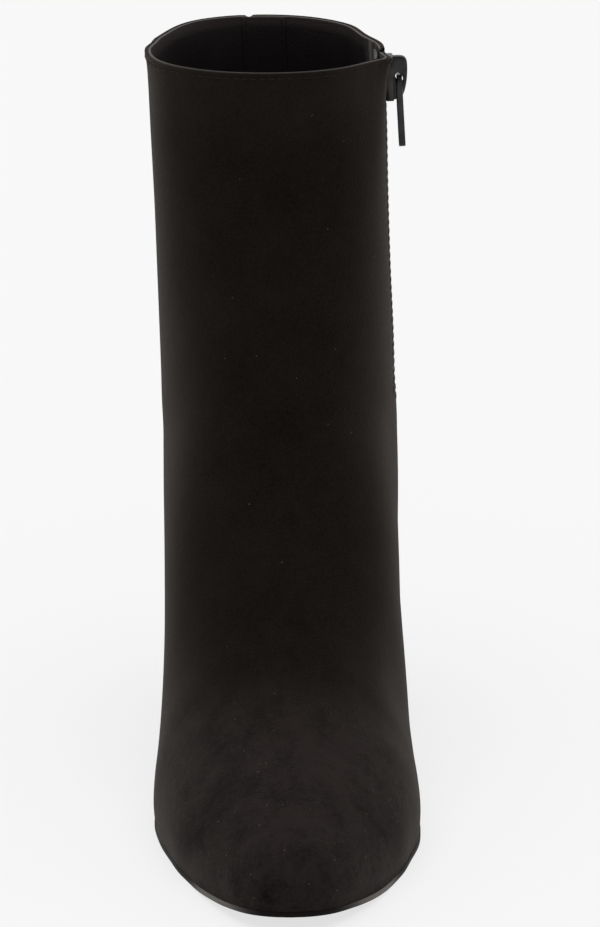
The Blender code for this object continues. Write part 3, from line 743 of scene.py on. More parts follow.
class Finish:
    """A material with one Principled shader, built node by node."""

    def __init__(self, name, **constants):
        self.material = bpy.data.materials.new(name)
        self.material.use_nodes = True
        self.tree = self.material.node_tree
        self.shader = self.tree.nodes["Principled BSDF"]
        for words, value in constants.items():
            self.set(words.replace("_", " ").title().replace("Ior", "IOR"), value)

    def set(self, socket, value):
        """Value or wire on one of the shader's sockets."""
        self.plug(self.shader.inputs[socket], value)

    def plug(self, socket, value):
        """Value or wire on any socket."""
        if isinstance(value, Wire):
            self.tree.links.new(value.socket, socket)
        elif socket.type == "RGBA":
            socket.default_value = (*value[:3], 1.0)
        else:
            socket.default_value = value

    def node(self, kind, settings, sockets, output=0):
        """Node of a type: its settings first, then the values or wires of its sockets."""
        made = self.tree.nodes.new("ShaderNode" + kind)
        for name, value in settings.items():
            setattr(made, name, value)
        for key, value in sockets.items():
            self.plug(made.inputs[key], value)
        return Wire(self, made.outputs[output])

    def dress(self, colour, relief, depth, strength, roughness=None):
        """The material, given its colour, a relief of so many metres and, where it varies, its roughness."""
        self.set("Base Color", colour)
        sockets = {"Height": relief, "Distance": depth, "Strength": strength}
        self.set("Normal", self.node("Bump", {}, sockets))
        if roughness is not None:
            self.set("Roughness", roughness)
        return self.material

    def place(self, stretch=(1.0, 1.0, 1.0)):
        """Object coordinates, stretched by a factor on each axis."""
        spot = self.node("TexCoord", {}, {}, "Object")
        return self.node("Mapping", {}, {"Vector": spot, "Scale": stretch})

    def axis(self, letter):
        """One of the object coordinates."""
        spot = self.node("TexCoord", {}, {}, "Object")
        return self.node("SeparateXYZ", {}, {"Vector": spot}, letter)

    def noise(self, place, scale, detail, roughness, distortion=0.0):
        """Noise from 0 to 1, at so many features to a metre."""
        sockets = {"Vector": place, "Scale": scale, "Detail": detail, "Roughness": roughness}
        return self.node("TexNoise", {}, {**sockets, "Distortion": distortion}, "Fac")

    def cells(self, place, scale, output="Distance"):
        """Cells at so many to a metre: the distance from their middles, or another output."""
        return self.node("TexVoronoi", {}, {"Vector": place, "Scale": scale}, output)

    def waves(self, direction, scale, distortion):
        """Waves from 0 to 1 in a direction."""
        sockets = {"Vector": self.place(), "Scale": scale, "Distortion": distortion}
        return self.node("TexWave", {"bands_direction": direction}, sockets, "Fac")

    def ease(self, value, start, end):
        """Soft step from 0 at one value to 1 at another."""
        sockets = {"Value": value, "From Min": start, "From Max": end}
        return self.node("MapRange", {"interpolation_type": "SMOOTHSTEP"}, sockets)

    def ease_off(self, value, start, end):
        """Soft step on both sides of zero, by the value's square."""
        return self.ease(value * value, start ** 2, end ** 2)

    def mix(self, share, first, second):
        """Colour between two colours."""
        return self.node("Mix", {"data_type": "RGBA"}, {0: share, 6: first, 7: second}, 2)

    def clamp(self, value):
        """Value kept between 0 and 1."""
        return self.node("Clamp", {}, {"Value": value})

    def contrast(self, value, gain, cut):
        """Value with more contrast, kept between 0 and 1."""
        return self.clamp(value * gain - cut)


def tint(colour, factor):
    """Colour made lighter or darker."""
    return [part * factor for part in colour]


def suede_finish(name, colours):
    """Suede with a soft nap: broad brushed tones, fine grain, a grazing sheen and a few specks of lint, with
    painted light on the vamp and under the rim and painted shade on the toe wall and the vamp's sides.
    """
    finish = Finish(
        name, roughness=0.95, specular_ior_level=0.05, sheen_weight=0.135, sheen_roughness=0.4,
        sheen_tint=(0.86, 0.77, 0.71),
    )
    place = finish.place()
    drift = finish.noise(place, *SUEDE_DRIFT)
    brushed = finish.noise(finish.place(stretch=(1.0, 1.0, 0.7)), *SUEDE_BRUSHED)
    nap = finish.noise(place, *SUEDE_NAP)
    mottle = finish.noise(place, *SUEDE_MOTTLE)
    x, y, z = (finish.axis(letter) for letter in "XYZ")
    # Mask of the vamp, where painted light is laid
    vamp = finish.ease(z * VAMP_RISE + y * VAMP_RUN, *VAMP_EDGE)
    aside = finish.ease_off(x, *VAMP_SIDES)
    # Mask of the toe wall, where painted shade is laid
    wall = finish.ease(z, *WALL_TOP) * finish.ease(y, *WALL_BACK)
    # Mask under the rim, where painted light is laid
    rim = finish.ease(z, *RIM_HEIGHT)
    tone = SUEDE_TONE + (drift - 0.5) * DRIFT_WEIGHT + (nap - 0.5) * NAP_WEIGHT
    tone = tone + (brushed - 0.5) * (BRUSHED_WEIGHT + vamp * BRUSHED_ON_VAMP)
    tone = tone + (mottle - 0.5) * (MOTTLE_WEIGHT + vamp * MOTTLE_ON_VAMP)
    # Painted light on the vamp, fading to painted shade at its sides, and painted shade on the toe wall
    tone = tone + vamp * (VAMP_PAINTED_LIGHT - x * x * VAMP_LIGHT_FALLOFF) - wall * (WALL_SHADE + aside * WALL_SHADE)
    # Painted light under the rim, more on the medial side
    tone = tone + rim * (RIM_PAINTED_LIGHT + finish.ease(x, *RIM_MEDIAL) * MEDIAL_RIM_PAINTED_LIGHT)
    # The vamp's lighter colour is painted light
    light = finish.mix(vamp, colours.suede_light, colours.suede_vamp_painted_light)
    cloth = finish.mix(finish.clamp(tone), colours.suede_dark, light)
    reach = finish.cells(place, LINT_CELLS)
    pick = finish.node("SeparateColor", {}, {"Color": finish.cells(place, LINT_CELLS, "Color")}, "Red")
    lint = (reach < LINT_SIZE) * (pick > LINT_RARE - vamp * LINT_ON_VAMP)
    fibre = finish.noise(finish.place(stretch=(1.0, 1.0, 0.6)), *SUEDE_FIBRE)
    relief = nap + fibre * FIBRE_WEIGHT
    return finish.dress(finish.mix(lint, cloth, colours.lint), relief, depth=0.3 * MM, strength=0.6)


def face_zip(finish, leather, colour):
    """Colour of a lining with a paler, stitched facing beside the zip."""
    x, y, z = (finish.axis(letter) for letter in "XYZ")
    from_zip = y + (z - FACING_HEIGHT) * FACING_LEAN - FACING_PLACE
    away = (from_zip * from_zip) ** 0.5
    lines = 0.0
    for start, middle, end, weight in FACING_SEAMS:
        lines = finish.ease(away, start, middle) * finish.ease(away, end, middle) * weight + lines
    facing = finish.mix(finish.clamp(lines), colour, tint(colour, 4.0))
    return finish.mix(finish.ease(away, *FACING_EDGE) * (x > 0.0), leather, facing)


def lining_finish(name, colour, facing=None):
    """Thin lining leather with a fine pebble grain, painted light under the rim and, if it is faced, a paler
    facing by the zip.
    """
    finish = Finish(name, specular_ior_level=0.3)
    place = finish.place()
    pebble = finish.cells(place, PEBBLE_CELLS)
    wear_and_painted_highlight = finish.noise(place, *LINING_WEAR)
    leather = finish.mix(finish.contrast(wear_and_painted_highlight, gain=1.6, cut=0.3), colour, tint(colour, 1.7))
    # Painted light on the lining just under the rim
    leather = finish.mix(finish.ease(finish.axis("Z"), *LINING_RIM_PAINTED_LIGHT), leather, tint(colour, 5.0))
    if facing is not None:
        leather = face_zip(finish, leather, facing)
    return finish.dress(leather, pebble, depth=0.12 * MM, strength=0.5, roughness=0.42 + wear_and_painted_highlight * 0.25)


def edge_finish(name, colour):
    """Cut edge of leather: fibrous and matt, paler towards the back."""
    finish = Finish(name, roughness=0.85)
    fibre = finish.noise(finish.place(), *EDGE_FIBRE)
    pale_share = finish.clamp(fibre * 0.4 + finish.ease(finish.axis("Y"), *EDGE_PALE_TOWARDS_BACK) * 0.65)
    leather = finish.mix(pale_share, tint(colour, 0.2), tint(colour, 2.2))
    return finish.dress(leather, fibre, depth=0.1 * MM, strength=0.6)


def thread_finish(name, colour):
    """Waxed sewing thread with its twist."""
    finish = Finish(name, roughness=0.65, specular_ior_level=0.2)
    twist = finish.waves("DIAGONAL", scale=700.0, distortion=1.5)
    return finish.dress(finish.mix(twist, colour, tint(colour, 2.2)), twist, depth=0.08 * MM, strength=0.7)


def sole_edge_finish(name, colour, wear_and_painted_highlight):
    """Burnished, inked edge of the sole: satin, with faint marks along it, and a painted highlight beside the
    toe.
    """
    finish = Finish(name, specular_ior_level=0.05)
    marks = finish.noise(finish.place(stretch=(1.0, 1.0, 6.0)), *SOLE_MARKS)
    # Painted highlight on the sole's edge at both sides of the toe
    aside = finish.axis("X") - SOLE_HIGHLIGHT_MIDDLE
    dust_and_painted_highlight = finish.ease_off(aside, *SOLE_HIGHLIGHT_INNER) * finish.ease_off(aside, *SOLE_HIGHLIGHT_OUTER)
    dust_and_painted_highlight = dust_and_painted_highlight * finish.ease(finish.axis("Y"), *SOLE_HIGHLIGHT_BACK)
    inked = finish.mix(marks, colour, tint(colour, 2.0))
    # The painted highlight's colour, broken up by the marks
    edge = finish.mix(finish.clamp(dust_and_painted_highlight * (0.6 + marks * 0.8)), inked, wear_and_painted_highlight)
    return finish.dress(edge, marks, depth=0.1 * MM, strength=0.3, roughness=0.4 + marks * 0.2)


def tread_finish(name, colour):
    """Matt underside of the sole: fine moulded grain, scuffed where it meets the floor."""
    finish = Finish(name, specular_ior_level=0.35)
    grain = finish.cells(finish.place(), TREAD_CELLS)
    scuff = finish.noise(finish.place(stretch=(3.0, 0.6, 1.0)), *TREAD_SCUFF)
    wear_and_painted_highlight = finish.contrast(scuff, gain=3.0, cut=1.4)
    tread_colour = finish.mix(wear_and_painted_highlight, tint(colour, 1.5), tint(colour, 5.0))
    return finish.dress(tread_colour, grain, depth=0.2 * MM, strength=0.6, roughness=0.55 + wear_and_painted_highlight * 0.3)


def rubber_finish(name, colour):
    """Heel rubber: matt, with a fine moulded speckle."""
    finish = Finish(name, specular_ior_level=0.4)
    speckle = finish.noise(finish.place(), *RUBBER_SPECKLE)
    dust = finish.noise(finish.place(), *RUBBER_DUST)
    dust_and_painted_highlight = finish.mix(finish.contrast(dust, gain=1.8, cut=0.6), colour, tint(colour, 3.0))
    return finish.dress(dust_and_painted_highlight, speckle, depth=0.1 * MM, strength=0.5, roughness=0.6 + dust * 0.25)


def metal_finish(name, colour):
    """Gunmetal plating: satin, with fine brush marks and a little wear."""
    finish = Finish(name, metallic=1.0)
    brushed = finish.noise(finish.place(stretch=(1.0, 1.0, 0.08)), *METAL_BRUSH)
    cloud = finish.noise(finish.place(), *METAL_CLOUD)
    plating = finish.mix(finish.contrast(cloud, gain=1.6, cut=0.3), colour, tint(colour, 2.4))
    return finish.dress(plating, brushed, depth=0.04 * MM, strength=0.4, roughness=0.22 + cloud * 0.22)


def tape_finish(name, colour):
    """Woven zip tape: a fine twill."""
    finish = Finish(name, roughness=0.85, sheen_weight=0.2, sheen_roughness=0.5)
    weave = finish.waves("Z", scale=420.0, distortion=0.6) * finish.waves("Y", scale=300.0, distortion=0.6)
    cloth = finish.mix(weave, tint(colour, 0.6), tint(colour, 2.2))
    return finish.dress(cloth, weave, depth=0.15 * MM, strength=0.8)


def floor_finish(name, colour):
    """Pale seamless studio floor."""
    finish = Finish(
        name, roughness=0.8, specular_ior_level=0.0, emission_color=colour, emission_strength=FLOOR_GLOW
    )
    cloud = finish.noise(finish.place(), *FLOOR_CLOUD)
    finish.set("Base Color", finish.mix(cloud, tint(colour, 0.995), colour))
    return finish.material


def place_grid(bm, rings):
    """Grid of quads whose vertices lie on rings of as many points each."""
    wide = len(rings[0])
    made = bmesh.ops.create_grid(bm, x_segments=wide - 1, y_segments=len(rings) - 1, size=1.0)["verts"]
    for k, vert in enumerate(made):
        vert.co = rings[k // wide][k % wide]
    return made


def merge(bm):
    """Close the seams and poles of a placed grid."""
    bmesh.ops.remove_doubles(bm, verts=bm.verts, dist=MERGE)
    bmesh.ops.dissolve_degenerate(bm, dist=MERGE, edges=bm.edges)
    bm.normal_update()


def round_edges(bm, width, segments=2, angle=60.0, pick=None):
    """Bevel the edges sharper than an angle, or those of them that are picked."""
    bm.normal_update()
    limit = math.radians(angle)
    sharp = [edge for edge in bm.edges if edge.is_manifold and edge.calc_face_angle() > limit]
    if pick:
        sharp = [edge for edge in sharp if pick(edge)]
    bmesh.ops.bevel(
        bm, geom=sharp, offset=width, offset_type="OFFSET", affect="EDGES", segments=segments,
        profile=0.5, material=-1, clamp_overlap=True,
    )


def add_piece(name, bm, materials, nodes=(), body="boot", move=True):
    """Object of a finished mesh, riding on a body and standing for its nodes."""
    if move:
        bmesh.ops.translate(bm, vec=(0.0, -LENGTH / 2, 0.0), verts=bm.verts)
    mesh = bpy.data.meshes.new(name)
    bm.to_mesh(mesh)
    bm.free()
    mesh.shade_smooth()
    mesh.set_sharp_from_angle(angle=math.radians(SMOOTH_ANGLE))
    for material in materials:
        mesh.materials.append(material)
    piece = bpy.data.objects.new(name, mesh)
    bpy.context.scene.collection.objects.link(piece)
    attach(piece, body)
    if nodes:
        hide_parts(*nodes)


def skin_mesh(steps, columns, first_row, last_row, seam_depth):
    """Open skin through the sections, without the zip's slot."""
    bm = bmesh.new()
    rows = [row for row in stepped_rows(steps, COLLAR_ROW) if first_row <= row < last_row] + [last_row]
    wide = len(place_grid(bm, [ring(row, columns, seam_depth) for row in rows])) // len(rows)
    bm.verts.index_update()
    start, end = slot_span(columns)
    slot = []
    for face in bm.faces:
        low = min(vert.index for vert in face.verts)
        if rows[low // wide] >= ZIP_END_ROW and start <= low % wide < end:
            slot.append(face)
    bmesh.ops.delete(bm, geom=slot, context="FACES")
    merge(bm)
    return bm


def sink(bm, depth):
    """Move a skin inwards."""
    bm.normal_update()
    for vert in bm.verts:
        vert.co -= vert.normal * depth
    bm.normal_update()


def line_skin(bm, thickness):
    """Give a skin an even thickness inwards, however sharp its corners are."""
    made = bmesh.ops.extrude_face_region(bm, geom=bm.faces[:])["geom"]
    bm.normal_update()
    inner = [item for item in made if isinstance(item, bmesh.types.BMVert)]
    for vert, inward in [(vert, -vert.normal) for vert in inner]:
        vert.co += inward * thickness
    bmesh.ops.recalc_face_normals(bm, faces=bm.faces)


def crease_height(point):
    """Height of the creases at a point of the upper: a trough with a low ridge on each side."""
    spot = (point - Vector((0.0, LENGTH / 2, 0.0))) / MM
    height = 0.0
    for start, middle, end, depth, width in CREASES:
        nearest = (math.inf, 0.0)
        for k, (a, b) in enumerate(((start, middle), (middle, end))):
            run = Vector(b) - Vector(a)
            share = min(max((spot - Vector(a)).dot(run) / run.length_squared, 0.0), 1.0)
            away = (spot - Vector(a) - run * share).length
            nearest = min(nearest, (away, (k + share) / 2))
        away, along = nearest
        if away > CREASE_REACH * width:
            continue
        trough = math.exp(-((away / width) ** 2))
        ridge = math.exp(-(((away - RIDGE_AT * width) / (RIDGE_WIDTH * width)) ** 2))
        height += depth * math.sin(math.pi * along) * (RIDGE_SHARE * ridge - trough)
    return height * MM


def notch_rim(bm):
    """Dip the rim a little where the back seam ends."""
    seam = side_points(COLLAR_ROW, LATERAL, [SEAM_SHIFT * MM / column_length(COLLAR_ROW, LATERAL)])[0]
    for vert in bm.verts:
        aside = math.hypot(vert.co.x - seam.x, (vert.co.y - seam.y) / 2) / NOTCH_REACH
        below = (seam.z - vert.co.z) / NOTCH_FADE
        if aside < 1 and below < 1:
            vert.co.z -= NOTCH_DEPTH * math.cos(math.pi / 2 * aside) ** 2 * (1 - max(below, 0.0))


def clear_of_sole(edge):
    """Whether an edge lies above the line where the upper meets the sole."""
    return all(vert.co.z - sole_line(vert.co.y) > SOLE_CLEARANCE for vert in edge.verts)


def level_out(run, side):
    """Level direction outwards from one side, across a run along its section."""
    return Vector((run.y, -run.x, 0.0)).normalized() * -side


def sew(bm, spots, length, thread):
    """Stitches that lie half sunk in a surface, one at each spot of point, run and outward direction."""
    for point, run, out in spots:
        turn = Matrix((run, out.cross(run), out)).transposed().to_4x4()
        shape = Matrix.Diagonal((length / 2, thread / 2, thread / 2, 1.0))
        place = Matrix.Translation(point) @ turn @ shape
        bmesh.ops.create_uvsphere(bm, u_segments=8, v_segments=6, radius=1.0, matrix=place)


def stitch_spots(points, outs, pitch):
    """Spots of a row of stitches along a path, with the outward direction known at each of its points."""
    total = path_length(points)
    count = int(total / pitch)
    middles = resample(points, [(k + 0.5) / count for k in range(count)])
    spots = []
    for k, point in enumerate(middles):
        before, after = middles[max(k - 1, 0)], middles[min(k + 1, count - 1)]
        run = (after - before).normalized()
        near = min(range(len(points)), key=lambda n: (points[n] - point).length_squared)
        out = (outs[near] - run * outs[near].dot(run)).normalized()
        spots.append((point, run, out))
    return spots


class BOOT_OT_suede(bpy.types.Operator):
    """Build the suede skin of the upper with its creases, turned edges and back seam."""

    bl_idname = "boot.suede"
    bl_label = "Suede upper"

    def execute(self, context):
        sizes = context.scene.boot_sizes
        bm = skin_mesh(SUEDE_STEPS, HALF_COLUMNS, 0.0, COLLAR_ROW, sizes.seam_depth)
        for vert in bm.verts:
            vert.co += vert.normal * crease_height(vert.co)
        bm.normal_update()
        outer = [(vert, vert.normal.copy()) for vert in bm.verts]
        bmesh.ops.solidify(bm, geom=bm.faces[:], thickness=sizes.suede)
        for vert, outward in outer:
            low = min(max(1 - (vert.co.z - sole_line(vert.co.y)) / SPREAD_REACH, 0.0), 1.0)
            aside = Vector((outward.x, outward.y, 0.0))
            vert.co += aside * SPREAD * sole_margin(vert.co) * low ** 2
        for vert in bm.verts:
            over = vert.co.z - sole_line(vert.co.y)
            vert.co.z += max(-over, 0.0) - SETTLE * max(1 - abs(over) / MM, 0.0)
        round_edges(bm, sizes.edge_round, pick=clear_of_sole)
        notch_rim(bm)
        finish = suede_finish("suede", context.scene.boot_colours)
        add_piece("suede_upper", bm, [finish], ["upper"])
        return {"FINISHED"}


class BOOT_OT_lining(bpy.types.Operator):
    """Build the lining with its cut edge, and the strip over its back seam."""

    bl_idname = "boot.lining"
    bl_label = "Lining"

    def execute(self, context):
        sizes = context.scene.boot_sizes
        colours = context.scene.boot_colours
        rim_row = COLLAR_ROW - LINING_BELOW_RIM
        bm = skin_mesh(LINING_STEPS, HALF_COLUMNS // 2, LINING_FIRST_ROW, rim_row, 0.0)
        depth = sizes.suede + LINING_CLEARANCE
        sink(bm, depth)
        line_skin(bm, sizes.lining)
        for vert in bm.verts:
            vert.co.z = max(vert.co.z, sole_line(vert.co.y))
        round_edges(bm, LINING_BEVEL, segments=1, pick=clear_of_sole)
        notch_rim(bm)
        rim = section(COLLAR_ROW - RIM_REACH)["back_up"]
        for face in bm.faces:
            if face.normal.z > FACING_UP and face.calc_center_median().z > rim:
                face.material_index = 1
        finishes = [
            lining_finish("lining", colours.lining, colours.zip_facing),
            edge_finish("lining_edge", colours.lining_edge),
        ]
        add_piece("lining", bm, finishes)
        self.strip(sizes, depth + sizes.lining + STRIP_CLEARANCE, finishes)
        return {"FINISHED"}

    def strip(self, sizes, depth, finishes):
        """Strip of leather over the lining's back seam."""
        bm = bmesh.new()
        steps = even_steps(0.0, sizes.strip_width / 2, STRIP_COLUMNS)
        rings = []
        for row in even_steps(STRIP_FIRST_ROW, COLLAR_ROW - STRIP_BELOW_RIM, STRIP_LEVELS):
            lateral, medial = (
                side_points(row, side, [step / column_length(row, side) for step in steps])
                for side in (LATERAL, MEDIAL)
            )
            rings.append(medial[::-1] + lateral[1:])
        place_grid(bm, rings)
        sink(bm, depth)
        bmesh.ops.solidify(bm, geom=bm.faces[:], thickness=STRIP_THICKNESS)
        round_edges(bm, STRIP_BEVEL, segments=1)
        add_piece("back_strip", bm, finishes[:1])


class BOOT_OT_stitches(bpy.types.Operator):
    """Sew the rows under the collar, beside the zip and along the strip inside the back."""

    bl_idname = "boot.stitches"
    bl_label = "Stitches"

    def execute(self, context):
        sizes = context.scene.boot_sizes
        bm = bmesh.new()
        for side in (LATERAL, MEDIAL):
            self.collar_row(bm, sizes, side)
        self.zip_rows(bm, sizes)
        self.strip_rows(bm, sizes)
        finish = thread_finish("thread", context.scene.boot_colours.thread)
        add_piece("stitches", bm, [finish])
        return {"FINISHED"}

    def collar_row(self, bm, sizes, side):
        """Stitches below the rim on one side, clear of the zip."""
        fine = even_steps(0.0, 1.0, COLLAR_SAMPLES)
        low, high = (side_points(row, side, fine) for row in (COLLAR_ROW - 1, COLLAR_ROW))
        points = [b.lerp(a, sizes.collar_drop / (b - a).length) for a, b in zip(low, high)]
        outs = []
        for k in range(len(points)):
            outs.append(level_out(points[min(k + 1, COLLAR_SAMPLES)] - points[max(k - 1, 0)], side))
        spots = stitch_spots(points, outs, sizes.stitch_pitch)
        if side == MEDIAL:
            middle = medial_point(COLLAR_ROW, 0.0)
            clear = SLOT_WIDTH / 2 + sizes.zip_row / 2
            spots = [spot for spot in spots if abs(spot[0].y - middle.y) > clear]
        sew(bm, spots, sizes.stitch, sizes.thread)

    def zip_rows(self, bm, sizes):
        """Stitches on both sides of the slot and below its end."""
        offset = SLOT_WIDTH / 2 + sizes.zip_row
        rows = even_steps(ZIP_STITCH_FROM, ZIP_STITCH_TO, ZIP_STITCH_SAMPLES)
        lines = [[zip_frame(row, across) for row in rows] for across in (-offset, offset)]
        end = even_steps(-offset, offset, ZIP_END_SAMPLES)
        lines.append([zip_frame(ZIP_STITCH_FROM, across) for across in end])
        for frames in lines:
            points = [point + out * crease_height(point) for point, *_, out in frames]
            outs = [out for point, *_, out in frames]
            sew(bm, stitch_spots(points, outs, sizes.stitch_pitch), sizes.stitch, sizes.thread)

    def strip_rows(self, bm, sizes):
        """Stitches along both edges of the strip inside the back."""
        depth = sizes.suede + sizes.lining + STRIP_THICKNESS + STRIP_STITCH_LIFT
        for side in (LATERAL, MEDIAL):
            points = []
            outs = []
            for row in even_steps(STRIP_FIRST_ROW, STRIP_STITCH_TO, STRIP_STITCH_SAMPLES):
                share = (sizes.strip_width / 2 - STRIP_STITCH_INSET) / column_length(row, side)
                before, spot, after = side_points(row, side, [share * near for near in NEAR_SHARES])
                out = level_out(after - before, side)
                points.append(spot - out * depth)
                outs.append(-out)
            sew(bm, stitch_spots(points, outs, sizes.stitch_pitch), sizes.stitch, sizes.thread)


class BOOT_OT_sole(bpy.types.Operator):
    """Build the outsole with its burnished edge, and the sock lining."""

    bl_idname = "boot.sole"
    bl_label = "Outsole and sock lining"

    def execute(self, context):
        colours = context.scene.boot_colours
        bm = self.slab(sole_margin, sole_top, tread)
        round_edges(bm, SOLE_EDGE_BEVEL, segments=3, pick=self.low)
        round_edges(bm, SOLE_TOP_BEVEL, segments=2)
        for face in bm.faces:
            if face.normal.z < FACING_DOWN:
                face.material_index = 1
        # The sole's edge carries a painted highlight beside the toe
        edge = sole_edge_finish("sole_edge", colours.sole, colours.sole_edge_highlight)
        finishes = [edge, tread_finish("tread", colours.sole)]
        add_piece("outsole_edge", bm, finishes, ["outsole"])
        bm = self.slab(
            lambda point: -WALL - INSOLE_INSET, lambda at: sole_line(at) + INSOLE_THICKNESS, sole_line
        )
        round_edges(bm, INSOLE_BEVEL, segments=3)
        add_piece("sock_lining", bm, [lining_finish("sock_leather", colours.lining)], ["insole"])
        return {"FINISHED"}

    def slab(self, margin, top, bottom):
        """Closed slab along the sole's outline, between two heights."""
        bm = bmesh.new()
        rings = []
        for lateral, medial in sole_sides(margin):
            row = [lateral.lerp(medial, share) for share in even_steps(0.0, 1.0, SOLE_COLUMNS)]
            rings.append([Vector((point.x, point.y, top(point.y))) for point in row])
        place_grid(bm, rings)
        merge(bm)
        under = bmesh.ops.extrude_face_region(bm, geom=bm.faces[:])
        for item in under["geom"]:
            if isinstance(item, bmesh.types.BMVert):
                item.co.z = bottom(item.co.y)
        bmesh.ops.recalc_face_normals(bm, faces=bm.faces)
        return bm

    def low(self, edge):
        """Whether an edge lies on the underside."""
        return all(vert.co.z - tread(vert.co.y) < UNDERSIDE_WITHIN for vert in edge.verts)


class BOOT_OT_heel(bpy.types.Operator):
    """Build the covered block heel and its rubber top piece."""

    bl_idname = "boot.heel"
    bl_label = "Heel"

    def execute(self, context):
        colours = context.scene.boot_colours
        top, foot = heel_outlines()
        cover = []
        for share in even_steps(0.0, 1.0, HEEL_LEVELS):
            drawn_in = 1 - (1 - share) ** HEEL_DRAW_IN
            points = []
            for a, b in zip(top, foot):
                point = a.lerp(b, drawn_in)
                point.z = a.z + (b.z - a.z) * share
                points.append(point)
            cover.append(points)
        finish = suede_finish("heel_suede", colours)
        add_piece("heel_cover", self.block(cover), [finish], ["heel"])
        rubber = []
        for up in (TOP_PIECE_THICKNESS - GAP, 0.0):
            rubber.append([Vector((point.x, point.y, up)) for point in foot])
        finish = rubber_finish("heel_rubber", colours.rubber)
        add_piece("heel_rubber", self.block(rubber), [finish], ["heel_top_piece"])
        return {"FINISHED"}

    def block(self, rings):
        """Closed block through D-shaped rings, with its corners and rims rounded."""
        bm = bmesh.new()
        place_grid(bm, [points + points[:1] for points in rings])
        merge(bm)
        bmesh.ops.holes_fill(bm, edges=bm.edges, sides=0)
        bmesh.ops.recalc_face_normals(bm, faces=bm.faces)
        round_edges(bm, HEEL_CORNER_BEVEL, segments=4, angle=HEEL_CORNER_ANGLE, pick=self.upright)
        round_edges(bm, HEEL_EDGE_BEVEL, segments=2)
        return bm

    def upright(self, edge):
        """Whether an edge climbs."""
        start, end = edge.verts
        return abs(start.co.z - end.co.z) > UPRIGHT


